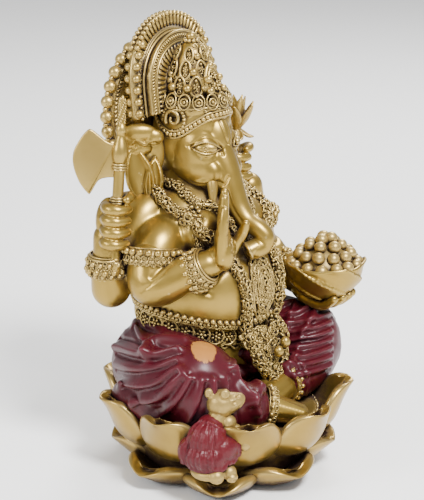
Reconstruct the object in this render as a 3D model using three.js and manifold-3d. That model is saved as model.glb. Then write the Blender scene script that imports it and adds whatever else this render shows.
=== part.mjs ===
// Seated four-armed Ganesha figurine on a lotus, cast in resin as separate pieces and pinned together.
// Millimetres. +Z is up, the figure faces -Y, and its right-hand side is at -X.
// The origin is on the underside, below the middle of the figure's knees.
import * as THREE from "three";
import { mergeVertices } from "three/addons/utils/BufferGeometryUtils.js";
import Module from "manifold-3d";

const wasm = await Module();
wasm.setup();

// ---------- driving dimensions ----------
const gap = 0.3; // clearance between neighbouring castings
const pinClearance = 0.3; // round a steel pin in its socket

const padThickness = 1.2; // felt pad under the base
const footRadius = 38; // of the lotus where it meets the pad
const lotusAside = [-10, 5]; // x and y of the lotus middle, as the figure sits off it
const seatRadius = 46; // flat seed-head that the figure sits on
const seatTop = 26; // height of that seat
const petalCount = 9; // in each of the two rows
const lowerPetal = { reach: 63, height: 25, thickness: 5 }; // tip radius and tip height
const upperPetal = { reach: 60, height: 45, thickness: 4 };

const sitBack = 28; // how far the hips sit behind the middle of the base
const hips = { width: 42, depth: 36, height: 28 }; // half-sizes
const belly = { width: 39, depth: 34, height: 33 };
const chest = { width: 31, depth: 23, height: 22 };
const kneeSpread = 42; // half the distance between the knees
const kneeRadius = 20.5;
const thighRadius = 23;
const ankleRadius = 9.5;
const shoulderSpread = 33; // half the distance between the front shoulders
const frontArm = { shoulder: 13, elbow: 11.5, wrist: 7.5 };
const rearArm = { shoulder: 11, elbow: 10, wrist: 7.5 };
const head = { width: 17, depth: 15, height: 27 };
const trunkRoot = 12;
const trunkTip = 4.6;
const crown = { width: 16.5, depth: 18.5, height: 36 };
const innerArch = { radius: 25, thickness: 4 };
const outerArch = { radius: 31, thickness: 4 };
const halo = { radius: 38, thickness: 4.5 };
const bowl = { rim: 20.5, foot: 10, height: 18, wall: 2.4 };
const handleRadius = 2.6;
const handleLength = 80;
const blade = { reach: 22, span: 29, thickness: 2.4 };
const mouse = { height: 36, belly: 12.5 };
const garlandRadius = 2.8;
const pinRadius = 2;

// ---------- places worked out from them ----------
const hipHeight = seatTop + hips.height - 7;
const bellyHeight = hipHeight + hips.height + 8;
const chestHeight = bellyHeight + belly.height - 2;
const chestBack = sitBack + 2;
const bellyBack = sitBack - 5;
const headHeight = chestHeight + chest.height + 17;
const headBack = sitBack + 10;
const bandHeight = headHeight + 14;
const kneeHeight = seatTop + kneeRadius + 0.5;
const kneeForward = -6;

const at = (x, y, z) => new THREE.Vector3(x, y, z);

// ---------- shapes: each is a function of how much it is grown, which gives a solid ----------
function solidOf(geometry) {
  const bare = geometry.clone();
  bare.deleteAttribute("normal");
  bare.deleteAttribute("uv");
  const merged = mergeVertices(bare, 1e-4);
  const index = merged.index ? merged.index.array : [...Array(merged.attributes.position.count).keys()];
  const mesh = new wasm.Mesh({
    numProp: 3,
    vertProperties: new Float32Array(merged.attributes.position.array),
    triVerts: new Uint32Array(index),
  });
  return new wasm.Manifold(mesh);
}

// An ellipsoid. turn is a rotation about X, Y and Z.
function ball(centre, radii, turn = [0, 0, 0], around = 10, up = 6) {
  return (grow) => {
    const geometry = new THREE.SphereGeometry(1, around, up).rotateX(Math.PI / 2);
    geometry.scale(radii[0] + grow, radii[1] + grow, radii[2] + grow);
    geometry.applyMatrix4(new THREE.Matrix4().makeRotationFromEuler(new THREE.Euler(...turn)));
    geometry.translate(centre.x, centre.y, centre.z);
    return solidOf(geometry);
  };
}

// A round-ended bar from a to b that tapers from radius ra to rb.
function bar(a, b, ra, rb, around = 7) {
  return (grow) => {
    const length = a.distanceTo(b);
    const steps = 2;
    const profile = [];
    for (let i = 0; i <= steps; i += 1) {
      const angle = -Math.PI / 2 + (i / steps) * (Math.PI / 2);
      profile.push(new THREE.Vector2((ra + grow) * Math.cos(angle), (ra + grow) * Math.sin(angle)));
    }
    for (let i = 0; i <= steps; i += 1) {
      const angle = (i / steps) * (Math.PI / 2);
      profile.push(new THREE.Vector2((rb + grow) * Math.cos(angle), length + (rb + grow) * Math.sin(angle)));
    }
    profile[0].x = 0;
    profile[profile.length - 1].x = 0;
    const geometry = new THREE.LatheGeometry(profile, around);
    const turn = new THREE.Quaternion().setFromUnitVectors(at(0, 1, 0), b.clone().sub(a).normalize());
    geometry.applyQuaternion(turn);
    geometry.translate(a.x, a.y, a.z);
    return solidOf(geometry);
  };
}

// Bars end to end through [place, radius] pairs. Each bar starts a little inside the end of the one before.
function chain(joints, around = 6) {
  return joints.slice(1).map(([to, radius], i) => {
    const [from, start] = joints[i];
    return bar(from, to, i === 0 ? start : start * 0.84, radius, around);
  });
}

// A bent, tapered limb: a round-ended turned body whose rings follow a smooth curve.
// points are [x, y, z, radius].
function limb(points, rings, around = 8) {
  return (grow) => {
    const curve = new THREE.CatmullRomCurve3(points.map((p) => at(p[0], p[1], p[2])), false, "centripetal");
    const frames = curve.computeFrenetFrames(rings, false);
    const profile = [new THREE.Vector2(0, -2), new THREE.Vector2(1, -1)];
    for (let i = 0; i <= rings; i += 1) profile.push(new THREE.Vector2(1, i));
    profile.push(new THREE.Vector2(1, rings + 1), new THREE.Vector2(0, rings + 2));
    const geometry = new THREE.LatheGeometry(profile, around);
    const position = geometry.attributes.position;
    for (let i = 0; i < position.count; i += 1) {
      const row = Math.round(position.getY(i));
      const ring = Math.min(Math.max(row, 0), rings);
      const share = (ring / rings) * (points.length - 1);
      const before = Math.min(Math.floor(share), points.length - 2);
      const tangent = curve.getTangent(ring / rings);
      const radius = THREE.MathUtils.lerp(points[before][3], points[before + 1][3], share - before) + grow;
      const beyond = row - ring; // -2 to 2: how far round the end cap this ring is
      const width = [1, 0.76, 0][Math.abs(beyond)] * radius;
      const ahead = Math.sign(beyond) * [0, 0.65, 1][Math.abs(beyond)] * radius;
      const angle = Math.atan2(position.getZ(i), position.getX(i));
      const spot = curve.getPoint(ring / rings).addScaledVector(tangent, ahead);
      spot.addScaledVector(frames.normals[ring], -width * Math.cos(angle));
      spot.addScaledVector(frames.binormals[ring], width * Math.sin(angle));
      position.setXYZ(i, spot.x, spot.y, spot.z);
    }
    return solidOf(geometry);
  };
}

// A straight pin with flat ends.
function pin(a, b, radius, around = 8) {
  return (grow) => {
    const along = b.clone().sub(a);
    const thick = radius + grow;
    const geometry = new THREE.CylinderGeometry(thick, thick, along.length() + 2 * grow, around);
    const turn = new THREE.Quaternion().setFromUnitVectors(at(0, 1, 0), along.clone().normalize());
    geometry.applyQuaternion(turn);
    const middle = a.clone().addScaledVector(along, 0.5);
    geometry.translate(middle.x, middle.y, middle.z);
    return solidOf(geometry);
  };
}

// An elliptical ring of round section that lies about Z, tilted by tilt about X.
function hoop(centre, rx, ry, section, turn = [0, 0, 0], around = 16) {
  return (grow) => {
    const geometry = new THREE.TorusGeometry(1, 0.2, 4, around);
    const position = geometry.attributes.position;
    for (let i = 0; i < position.count; i += 1) {
      const x = position.getX(i);
      const y = position.getY(i);
      const reach = Math.hypot(x, y);
      const outwards = ((reach - 1) / 0.2) * (section[0] + grow);
      const angle = Math.atan2(y, x);
      position.setXYZ(
        i,
        Math.cos(angle) * (rx + outwards),
        Math.sin(angle) * (ry + outwards),
        (position.getZ(i) / 0.2) * (section[1] + grow),
      );
    }
    geometry.applyMatrix4(new THREE.Matrix4().makeRotationFromEuler(new THREE.Euler(...turn)));
    geometry.translate(centre.x, centre.y, centre.z);
    return solidOf(geometry);
  };
}

// A solid of revolution about Z from [radius, height] pairs that start and end on the axis.
function turned(centre, pairs, around = 24, depthShare = 1) {
  return (grow) => {
    const top = pairs.length - 1;
    const profile = pairs.map(([r, z], i) => {
      const lift = i === 0 || (i === 1 && pairs[0][1] === z) ? -grow : i >= top - 1 ? grow : 0;
      return new THREE.Vector2(r > 0 ? r + grow : 0, z + lift);
    });
    const geometry = new THREE.LatheGeometry(profile, around).rotateX(Math.PI / 2).scale(1, depthShare, 1);
    geometry.translate(centre.x, centre.y, centre.z);
    return solidOf(geometry);
  };
}

// A round rope along a smooth curve through points.
function rope(points, radius, steps, sides = 8) {
  return (grow) => {
    const curve = new THREE.CatmullRomCurve3(points.map((p) => at(...p)));
    const section = new THREE.Shape().absarc(0, 0, radius + grow, 0, 2 * Math.PI, false);
    return solidOf(
      new THREE.ExtrudeGeometry(section, { steps, extrudePath: curve, curveSegments: sides / 2 }),
    );
  };
}

// An upright round-topped plate facing -Y. Its straight sides run down from the middle of the round by legs.
function archPlate(centre, radius, thickness, legs, lean, around = 12) {
  return (grow) => {
    const shape = new THREE.Shape();
    shape.moveTo(-radius - grow, -legs - grow);
    shape.lineTo(radius + grow, -legs - grow);
    shape.absarc(0, 0, radius + grow, 0, Math.PI, false);
    const depth = thickness + 2 * grow;
    const geometry = new THREE.ExtrudeGeometry(shape, { depth, bevelEnabled: false, curveSegments: around });
    geometry.translate(0, 0, -depth / 2).rotateX(Math.PI / 2 + lean);
    geometry.translate(centre.x, centre.y, centre.z);
    return solidOf(geometry);
  };
}

// ---------- the piece list ----------
const root = new THREE.Group();
const made = []; // every piece so far: its primitives grown by the gap, which later pieces are cut back from

const union = (shapes, grow) => shapes.map((s) => s(grow)).reduce((a, b) => a.add(b));
const paint = (color, roughness, metalness) => {
  return new THREE.MeshStandardMaterial({ color, roughness, metalness });
};
const gold = paint(0xb8934f, 0.38, 0.75);
const paleGold = paint(0xcdb27a, 0.42, 0.6);
const red = paint(0x6e1a28, 0.42, 0.05);
const felt = paint(0x2c2420, 0.95, 0);
const steel = paint(0x9a9c9e, 0.35, 1);

const boxesTouch = (a, b) => [0, 1, 2].every((k) => a.min[k] <= b.max[k] && b.min[k] <= a.max[k]);

// Adds a piece, which gives way to every piece added before it and keeps its largest body.
// The clearance is the room that later pieces leave round it.
function piece(name, finish, shapes, { clearance = gap } = {}) {
  let solid = union(shapes, 0);
  const box = solid.boundingBox();
  made.forEach((other) => {
    if (boxesTouch(box, other.box)) solid = solid.subtract(other.grown);
  });
  const bodies = solid.decompose().sort((a, b) => b.volume() - a.volume());
  const grown = union(shapes, clearance);
  made.push({ grown, box: grown.boundingBox() });
  const mesh = bodies[0].getMesh();
  const geometry = new THREE.BufferGeometry()
    .setAttribute("position", new THREE.BufferAttribute(new Float32Array(mesh.vertProperties), 3))
    .setIndex(new THREE.BufferAttribute(new Uint32Array(mesh.triVerts), 1));
  const shown = new THREE.Mesh(geometry, finish);
  shown.name = name;
  root.add(shown);
}

const sides = [
  { side: "right", s: -1 },
  { side: "left", s: 1 },
];

// ---------- joints of the skeleton ----------
const shoulder = (s) => at(s * shoulderSpread, chestBack - 3, chestHeight);
const rearShoulder = (s) => at(s * (shoulderSpread - 5), chestBack + 10, chestHeight + 3);
const hipJoint = (s) => at(s * 20, sitBack + 6, hipHeight - 2);
const knee = (s) => at(s * kneeSpread, kneeForward, kneeHeight);
const ankle = (s) => (s < 0 ? at(-21, -27, seatTop + 9.5) : at(11, -17, seatTop + 10.5));

const elbowFront = {
  right: at(-44, chestBack - 7, bellyHeight + 5),
  left: at(45, chestBack - 2, bellyHeight + 8),
};
const wristFront = {
  right: at(-31, 1, bellyHeight + 18),
  left: at(46, 11, bellyHeight - 4),
};
const elbowRear = {
  right: at(-47, sitBack + 16, bellyHeight + 4),
  left: at(50, sitBack + 16, bellyHeight + 4),
};
const wristRear = {
  right: at(-50, sitBack + 16, chestHeight - 13),
  left: at(50, sitBack + 6, chestHeight - 6),
};
const fistRear = {
  right: at(-48, sitBack + 15, chestHeight + 6),
  left: at(47, sitBack + 5, chestHeight + 13),
};
const palm = at(-24, -2, bellyHeight + 31);
const palmTurn = 0.66; // the blessing palm faces forward and a little to the left, radians
const bowlFoot = at(48, -13, kneeHeight + kneeRadius + 2.2);

// ---------- steel pins that hold the castings together ----------
const neckJoint = at(0, chestBack + 3, chestHeight + chest.height - 3);
const haloFront = headBack + head.depth + 0.7;
const haloMiddle = at(0, haloFront, headHeight + 13);
const haloJoint = at(0, headBack + 10, headHeight + 6);
const socket = { clearance: pinClearance };
const bodyPin = pin(at(0, sitBack + 4, seatTop - 12), at(0, sitBack + 4, bellyHeight - 10), 2 * pinRadius);
piece("body_pin", steel, [bodyPin], socket);
const neckPin = pin(neckJoint.clone().add(at(0, 0, -14)), neckJoint.clone().add(at(0, 0, 16)), pinRadius);
piece("neck_pin", steel, [neckPin], socket);
sides.forEach(({ side, s }) => {
  const a = rearShoulder(s);
  piece(`${side}_rear_arm_pin`, steel, [pin(at(s * 10, a.y - 2, a.z - 4), a, pinRadius)], socket);
});
const haloPin = pin(haloJoint, haloJoint.clone().setY(haloFront + halo.thickness * 0.6), pinRadius);
piece("halo_pin", steel, [haloPin], socket);

// ---------- base ----------
const lowerInner = footRadius - 3; // where the lower petals begin
const lotusMiddle = at(...lotusAside, 0);
const padProfile = [
  [0, 0],
  [footRadius, 0],
  [footRadius, padThickness],
  [0, padThickness],
];
piece("base_pad", felt, [turned(lotusMiddle, padProfile)]);
piece("lotus_seat", gold, [
  turned(
    lotusMiddle,
    [
      [0, padThickness + gap],
      [lowerInner - gap, padThickness + gap],
      [seatRadius - 8, seatTop * 0.5],
      [seatRadius, seatTop - 3],
      [seatRadius, seatTop],
      [0, seatTop],
    ],
    24,
  ),
]);

// ---------- ornaments that lie on the skin, added first so that the skin is cut back round them ----------
const garlandFront = bellyBack - belly.depth;
const garlandPath = [
  [-4, chestBack + chest.depth - 1, chestHeight + 16],
  [-19, chestBack + 12, chestHeight + 18],
  [-27, chestBack - 2, chestHeight + 14],
  [-22, chestBack - 17.5, chestHeight + 4],
  [-15, garlandFront + 6.5, bellyHeight + 18],
  [-12.5, garlandFront - 0.5, bellyHeight],
  [-11, garlandFront - 1, bellyHeight - 18],
  [-7, garlandFront - 5, bellyHeight - 34],
  [2, garlandFront - 7, bellyHeight - 42],
  [10, garlandFront - 5, bellyHeight - 35],
  [14, garlandFront - 1, bellyHeight - 18],
  [14, garlandFront - 0.5, bellyHeight],
  [16, garlandFront + 6.5, bellyHeight + 18],
  [22, chestBack - 17.5, chestHeight + 4],
  [27, chestBack - 2, chestHeight + 14],
  [19, chestBack + 12, chestHeight + 18],
  [4, chestBack + chest.depth - 1, chestHeight + 16],
];
piece("garland", gold, [rope(garlandPath, garlandRadius, 20, 6)]);
const neckRing = hoop(at(0, chestBack - 7, chestHeight + 16), 19, 18, [2.2, 2.2], [-0.5, 0, 0], 14);
piece("neck_beads", gold, [neckRing]);
const pendant = ball(at(1, garlandFront - 0.5, bellyHeight + 4), [5.5, 2.6, 13], [-0.08, 0, 0], 10, 6);
piece("chest_pendant", gold, [pendant]);
piece("waist_belt", gold, [
  hoop(at(0, bellyBack + 2, hipHeight + 19), belly.width - 3.5, belly.depth - 4, [2.6, 5], [0.14, 0, 0], 18),
]);
const chainMiddle = at(0, bellyBack + 1, bellyHeight - 9);
piece("belly_chain", gold, [
  hoop(chainMiddle, belly.width - 1.5, belly.depth - 1.3, [1.3, 1.3], [0.14, 0, 0], 18),
]);

// A bracelet or armlet: a round-sectioned ring square to the limb, at a share t of the way from a to b.
function cuff(name, a, b, t, radius, section) {
  const along = b.clone().sub(a);
  const centre = a.clone().addScaledVector(along, t);
  const turn = new THREE.Euler().setFromQuaternion(
    new THREE.Quaternion().setFromUnitVectors(at(0, 0, 1), along.normalize()),
  );
  piece(name, gold, [hoop(centre, radius, radius, section, [turn.x, turn.y, turn.z], 8)]);
}
const armletPlace = 0.45; // of the way down the upper arm
sides.forEach(({ side, s }) => {
  const upperArm = THREE.MathUtils.lerp(frontArm.shoulder, frontArm.elbow, armletPlace);
  cuff(`${side}_armlet`, shoulder(s), elbowFront[side], armletPlace, upperArm - 0.3, [1.8, 3]);
  cuff(`${side}_front_bracelet`, wristFront[side], elbowFront[side], 0.12, frontArm.wrist + 1.2, [2.2, 4.2]);
  cuff(`${side}_rear_bracelet`, wristRear[side], elbowRear[side], 0.1, rearArm.wrist + 0.6, [1.9, 3.8]);
  const shin = knee(s).lerp(ankle(s), 0.97);
  cuff(`${side}_anklet`, shin, shin.clone().add(ankle(s).sub(knee(s))), 0.06, ankleRadius - 0.6, [1.8, 2]);
});

// ---------- what the hands hold ----------
const handleFoot = at(-53, sitBack + 9, chestHeight - 14);
const handleTop = at(-45, sitBack + 13, chestHeight - 14 + handleLength);
piece("axe_handle", gold, [bar(handleFoot, handleTop, handleRadius, handleRadius, 8)]);

// The blade is a crescent in the plane of the handle, on the side away from the body.
const bladeShape = (grow) => {
  const half = blade.span / 2 + grow;
  const shape = new THREE.Shape();
  shape.moveTo(handleRadius + 0.2 - grow, -half * 0.32);
  shape.quadraticCurveTo(blade.reach * 0.4, -half * 0.4, blade.reach * 0.62, -half);
  shape.quadraticCurveTo(blade.reach + 3 + grow, -half * 0.5, blade.reach + grow, half * 0.2);
  shape.quadraticCurveTo(blade.reach * 0.9, half * 0.95, blade.reach * 0.42, half);
  shape.quadraticCurveTo(blade.reach * 0.3, half * 0.6, handleRadius + 0.2 - grow, half * 0.55);
  const depth = blade.thickness + 2 * grow;
  const geometry = new THREE.ExtrudeGeometry(shape, { depth, bevelEnabled: false, curveSegments: 8 });
  geometry.translate(0, 0, -depth / 2).rotateX(Math.PI / 2);
  geometry.rotateZ(Math.PI - 0.92);
  const mount = handleFoot.clone().lerp(handleTop, 0.66);
  geometry.translate(mount.x, mount.y, mount.z);
  return solidOf(geometry);
};
piece("axe_blade", gold, [bladeShape]);

const stemFoot = fistRear.left.clone().add(at(1, 1, -10));
const budFoot = at(43, sitBack + 10, headHeight - 5);
piece("lotus_stem", gold, [bar(stemFoot, budFoot, 1.6, 1.6, 10)]);
const flowerProfile = [
  [0, 0],
  [4.5, 0.5],
  [10.5, 4],
  [9, 6.5],
  [7, 7],
  [6, 13],
  [0, 18],
];
piece("lotus_flower", gold, [turned(budFoot, flowerProfile, 12)]);

const pileRadius = bowl.rim - bowl.wall - 0.6;
const pileMiddle = bowlFoot.clone().add(at(0, 0, bowl.height - 1));
const laddus = ball(pileMiddle, [pileRadius, pileRadius, 15], [0, 0, 0], 14, 7);
piece("laddu_pile", gold, [laddus]);
piece("offering_bowl", gold, [
  turned(
    bowlFoot,
    [
      [0, 0],
      [bowl.foot, 0],
      [bowl.rim * 0.8, bowl.height * 0.45],
      [bowl.rim, bowl.height],
      [bowl.rim - bowl.wall, bowl.height],
      [0, bowl.height * 0.5],
    ],
    18,
  ),
]);

// ---------- mouse ----------
const mouseFoot = at(-59, -24.5, seatTop * 0.6);
const mouseBelly = mouseFoot.clone().add(at(0, 0, mouse.belly));
const mouseHead = mouseFoot.clone().add(at(8, -1, mouse.height * 0.88));
const snout = mouseHead.clone().add(at(6.4, -4.8, 1));
piece("mouse_head", paleGold, [
  ball(mouseHead, [6.8, 6.8, 6], [0, 0, 0], 10, 6),
  bar(mouseHead, snout, 4.6, 2.2, 6),
  ball(mouseHead.clone().add(at(-4.5, -3.5, 5)), [2.6, 2.6, 3], [0, 0, 0], 6, 4),
  ball(mouseHead.clone().add(at(-1.5, 5, 5)), [2.6, 2.6, 3], [0, 0, 0], 6, 4),
]);
const mouseRadii = [mouse.belly - 0.5, mouse.belly, mouse.belly + 0.5];
piece("mouse_vest", red, [ball(mouseBelly, mouseRadii, [0, 0, 0], 12, 8)]);
const mouseLegs = ball(mouseFoot.clone().add(at(0, 0, 0.5)), [11, 12, 4.5], [0, 0, 0], 10, 6);
piece("mouse_body", paleGold, [mouseLegs]);
const mouseSweet = ball(mouseBelly.clone().add(at(11, -10, 4)), [3.6, 3.6, 3.6]);
piece("mouse_offering", paleGold, [mouseSweet]);

// ---------- head, trunk and crown ----------
sides.forEach(({ side, s }) => {
  const tuskRoot = at(s * 8.8, headBack - 26, headHeight - 15);
  const tuskTip = at(s * 12, headBack - 27, headHeight - 26);
  piece(`${side}_tusk`, paleGold, [bar(tuskRoot, tuskTip, 2.7, 1.4, 8)]);
});
const crownCentre = at(0, headBack - 6.5, bandHeight);
piece("crown_band", gold, [hoop(crownCentre, crown.width - 1, crown.depth - 1, [2.8, 5], [-0.12, 0, 0], 16)]);
const archCentre = at(0, headBack, bandHeight + 12);
const archLean = -0.12; // the two plates lean forward at the top
piece("crown_tiara", gold, [archPlate(at(0, headBack - 20.5, bandHeight + 12), 9, 3, 6, 0.25, 10)]);
piece("inner_arch", gold, [archPlate(archCentre, innerArch.radius, innerArch.thickness, 12, archLean)]);
const archStep = (innerArch.thickness + outerArch.thickness) / 2 + 1.4;
const outerCentre = archCentre.clone().add(at(0, archStep, 3));
piece("outer_arch", gold, [archPlate(outerCentre, outerArch.radius, outerArch.thickness, 16, archLean, 14)]);
const capProfile = [
  [0, 4],
  [crown.width - 3, 4],
  [crown.width - 4, crown.height * 0.35],
  [crown.width * 0.6, crown.height * 0.8],
  [0, crown.height],
];
piece("crown_cap", gold, [turned(crownCentre, capProfile, 14, crown.depth / crown.width)]);
const haloRear = haloMiddle.clone().add(at(0, halo.thickness, 0));
const haloDisc = pin(haloMiddle, haloRear, halo.radius, 24);
piece("halo", gold, [haloDisc]);
const trunk = [
  [0, headBack - 20, headHeight - 4, trunkRoot],
  [0, headBack - 27, headHeight - 10, trunkRoot * 0.63],
  [0, headBack - 31, headHeight - 19, trunkRoot * 0.48],
  [0, headBack - 34, headHeight - 27, trunkRoot * 0.42],
  [0, headBack - 39.5, headHeight - 34.5, trunkRoot * 0.37],
  [1, headBack - 46, headHeight - 38, trunkRoot * 0.33],
  [2.5, headBack - 48, headHeight - 42.5, trunkTip * 0.85],
  [0, headBack - 47.5, headHeight - 47, trunkTip * 0.87],
  [-5, headBack - 46, headHeight - 47, trunkTip],
];
sides.forEach(({ side, s }) => {
  piece(`${side}_ear`, gold, [
    ball(at(s * 25, headBack + 5, headHeight - 7), [11, 3.4, 20], [0, s * 0.12, s * 0.75], 12, 8),
  ]);
});
piece("head", gold, [
  ball(at(0, headBack, headHeight), [head.width, head.depth, head.height]),
  ball(at(0, headBack - 12, headHeight - 4), [head.width - 1.5, 17, 20]),
  ball(at(0, headBack - 12, headHeight - 18), [10, 13, 9]),
  limb(trunk, 14, 8),
]);

// ---------- body and legs ----------
piece("torso", gold, [
  ball(at(0, bellyBack, bellyHeight), [belly.width, belly.depth, belly.height], [0, 0, 0], 12, 6),
  ball(at(0, chestBack, chestHeight), [chest.width, chest.depth, chest.height], [0, 0, 0], 12, 6),
  bar(at(0, chestBack + 2, chestHeight + 10), neckJoint, 18, 15, 8),
]);
const heel = { right: ankle(-1).add(at(3, -2, -0.5)), left: ankle(1).add(at(-4, -1, 1)) };
const toes = { right: heel.right.clone().add(at(9, -9, -3)), left: heel.left.clone().add(at(-12, -2, 1)) };
const footJoints = {
  right: [[heel.right, 6.5], [toes.right, 6], [toes.right.clone().add(at(5, -3, 0)), 3.2]],
  left: [[heel.left, 7], [toes.left, 6.5], [toes.left.clone().add(at(-5, 0, 1)), 3.5]],
};
piece("left_foot", gold, chain(footJoints.left));
piece("right_foot", gold, chain(footJoints.right));
sides.forEach(({ side, s }) => {
  const leg = [[hipJoint(s), thighRadius], [knee(s), kneeRadius], [ankle(s), ankleRadius]];
  piece(`${side}_leg`, red, chain(leg, 8));
});
const hipRadii = [hips.width, hips.depth, hips.height];
piece("dhoti_hips", red, [ball(at(0, sitBack, hipHeight), hipRadii, [0, 0, 0], 12, 6)]);

// ---------- arms ----------
// across runs from the little finger to the thumb, ahead is the way the palm faces.
const across = at(Math.cos(palmTurn), Math.sin(palmTurn), 0);
const ahead = at(Math.sin(palmTurn), -Math.cos(palmTurn), 0);
const onPalm = (side, out, up) => {
  return palm.clone().addScaledVector(across, side).addScaledVector(ahead, out).add(at(0, 0, up));
};
piece("right_blessing_hand", gold, [
  ball(palm, [9.5, 4.6, 12], [0, 0, palmTurn], 10, 6),
  bar(onPalm(-6, 0, 7), onPalm(-6, -0.5, 21), 2.9, 2.2),
  bar(onPalm(-1, 0, 8), onPalm(-1, -0.5, 24), 3, 2.3),
  bar(onPalm(4.5, 0, 7), onPalm(4.5, -0.5, 23), 2.9, 2.3),
  bar(onPalm(7, 2, -6), onPalm(6, 9, 5), 3, 2.3),
]);
piece(
  "right_front_arm",
  gold,
  chain([
    [shoulder(-1), frontArm.shoulder],
    [elbowFront.right, frontArm.elbow],
    [wristFront.right, frontArm.wrist],
    [palm.clone().add(at(0, 0, -9)), 5],
  ]),
);
sides.forEach(({ side, s }) => {
  const fist = fistRear[side];
  piece(`${side}_rear_arm`, gold, [
    ...chain([
      [rearShoulder(s), rearArm.shoulder],
      [elbowRear[side], rearArm.elbow],
      [wristRear[side], rearArm.wrist],
    ]),
    ball(fist, [9.3, 9.3, 10.5], [0, 0, 0], 10, 7),
  ]);
});
piece(
  "left_front_arm",
  gold,
  chain([
    [shoulder(1), frontArm.shoulder - 1],
    [elbowFront.left, frontArm.elbow - 1],
    [wristFront.left, frontArm.wrist],
    [bowlFoot.clone().add(at(0, 6, 2)), 6],
    [bowlFoot.clone().add(at(-15, -2, 8)), 3.2],
  ]),
);

// ---------- lotus petals, cut back round whatever rests on them ----------
// A scalloped ring turned from a closed [radius, height] profile. Between two petals it dips in and down.
// offset is where the first petal stands, in petals round from the front.
function petalRing(profile, offset, dip) {
  const [inner, low] = profile[0];
  return (grow) => {
    const count = profile.length;
    const grown = profile.map(([r, z], i) => {
      const [r0, z0] = profile[(i + count - 1) % count];
      const [r1, z1] = profile[(i + 1) % count];
      const out = new THREE.Vector2(z1 - z0, r0 - r1).normalize();
      return new THREE.Vector2(r + out.x * grow, z + out.y * grow);
    });
    const closed = [...grown, grown[0].clone()];
    const geometry = new THREE.LatheGeometry(closed, 4 * petalCount).rotateX(Math.PI / 2);
    const position = geometry.attributes.position;
    for (let i = 0; i < position.count; i += 1) {
      const [x, y, z] = [position.getX(i), position.getY(i), position.getZ(i)];
      const turn = (Math.atan2(x, -y) / (2 * Math.PI)) * petalCount - offset;
      const between = Math.pow(2 * Math.abs(turn - Math.round(turn)), 2); // 0 on a petal, 1 between two
      const radius = Math.hypot(x, y);
      const spread = Math.max(radius - inner, 0);
      const drawn = (radius - spread * dip.inwards * between) / radius;
      position.setXYZ(i, x * drawn, y * drawn, z - Math.max(z - low, 0) * dip.down * between);
    }
    geometry.translate(...lotusAside, 0);
    return solidOf(geometry);
  };
}

const padTop = padThickness + gap;
const rowSeam = seatTop * 0.48; // height at which the upper ring of petals sits on the lower one
const lowerProfile = [
  [lowerInner, padTop],
  [footRadius + 5, padTop],
  [lowerPetal.reach - 2.5, padTop + 6],
  [lowerPetal.reach, lowerPetal.height],
  [lowerPetal.reach - lowerPetal.thickness, lowerPetal.height + 1],
  [lowerPetal.reach - 2 * lowerPetal.thickness, rowSeam + 6],
  [upperPetal.reach - 6, rowSeam],
  [lowerInner, rowSeam],
];
const upperInner = seatRadius + gap + 0.2;
const upperProfile = [
  [upperInner, rowSeam + gap],
  [upperPetal.reach - 5, rowSeam + gap],
  [upperPetal.reach, rowSeam + 8],
  [upperPetal.reach, upperPetal.height],
  [upperPetal.reach - upperPetal.thickness, upperPetal.height + 1],
  [upperPetal.reach - 9, seatTop + 0.5],
  [upperInner, seatTop - 1],
];
piece("lotus_lower_petals", gold, [petalRing(lowerProfile, 0.5, { inwards: 0.16, down: 0.45 })]);
piece("lotus_upper_petals", gold, [petalRing(upperProfile, 0, { inwards: 0.12, down: 0.3 })]);

export default root;
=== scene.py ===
import math
import random

import bmesh
import bpy
import numpy as np
from mathutils import Euler, Matrix, Vector
from mathutils.bvhtree import BVHTree


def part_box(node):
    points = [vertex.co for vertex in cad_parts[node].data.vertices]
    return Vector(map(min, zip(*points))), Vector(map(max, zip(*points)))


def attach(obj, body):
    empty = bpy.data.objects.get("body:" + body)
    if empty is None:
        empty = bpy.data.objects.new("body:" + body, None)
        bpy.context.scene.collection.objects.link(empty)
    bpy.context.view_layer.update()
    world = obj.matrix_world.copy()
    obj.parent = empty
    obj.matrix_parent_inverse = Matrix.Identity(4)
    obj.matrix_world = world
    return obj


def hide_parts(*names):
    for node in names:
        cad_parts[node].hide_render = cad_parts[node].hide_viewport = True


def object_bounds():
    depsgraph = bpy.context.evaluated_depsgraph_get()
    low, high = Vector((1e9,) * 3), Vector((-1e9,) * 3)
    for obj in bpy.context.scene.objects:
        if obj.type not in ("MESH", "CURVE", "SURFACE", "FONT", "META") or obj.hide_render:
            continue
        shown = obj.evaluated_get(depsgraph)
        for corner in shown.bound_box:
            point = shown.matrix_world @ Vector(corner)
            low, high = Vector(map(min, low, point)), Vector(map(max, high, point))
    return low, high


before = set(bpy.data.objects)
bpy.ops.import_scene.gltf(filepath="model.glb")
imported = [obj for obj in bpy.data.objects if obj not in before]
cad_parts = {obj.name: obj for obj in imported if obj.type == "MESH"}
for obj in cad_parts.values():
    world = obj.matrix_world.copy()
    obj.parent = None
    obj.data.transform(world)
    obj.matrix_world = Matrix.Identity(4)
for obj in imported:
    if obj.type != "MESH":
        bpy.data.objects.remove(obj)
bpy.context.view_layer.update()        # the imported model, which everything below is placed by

chance = random.Random(7)
perMetre = 1000        # the modelling below is in millimetres, and each finished piece is turned into metres
fullTurn = 2 * math.pi
upright = Vector((0, 0, 1))


def box(node):
    low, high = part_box(node)
    return Vector(low) * perMetre, Vector(high) * perMetre


def middle(node):
    low, high = box(node)
    return (low + high) / 2


figureFoot = Vector((middle("body_pin").x, middle("body_pin").y - 32, box("lotus_seat")[1].z))


def onSeat(x, y, z):        # a place on the figure: right and left of its middle, back, and up from the seat
    return figureFoot + Vector((x, y, z))


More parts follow.
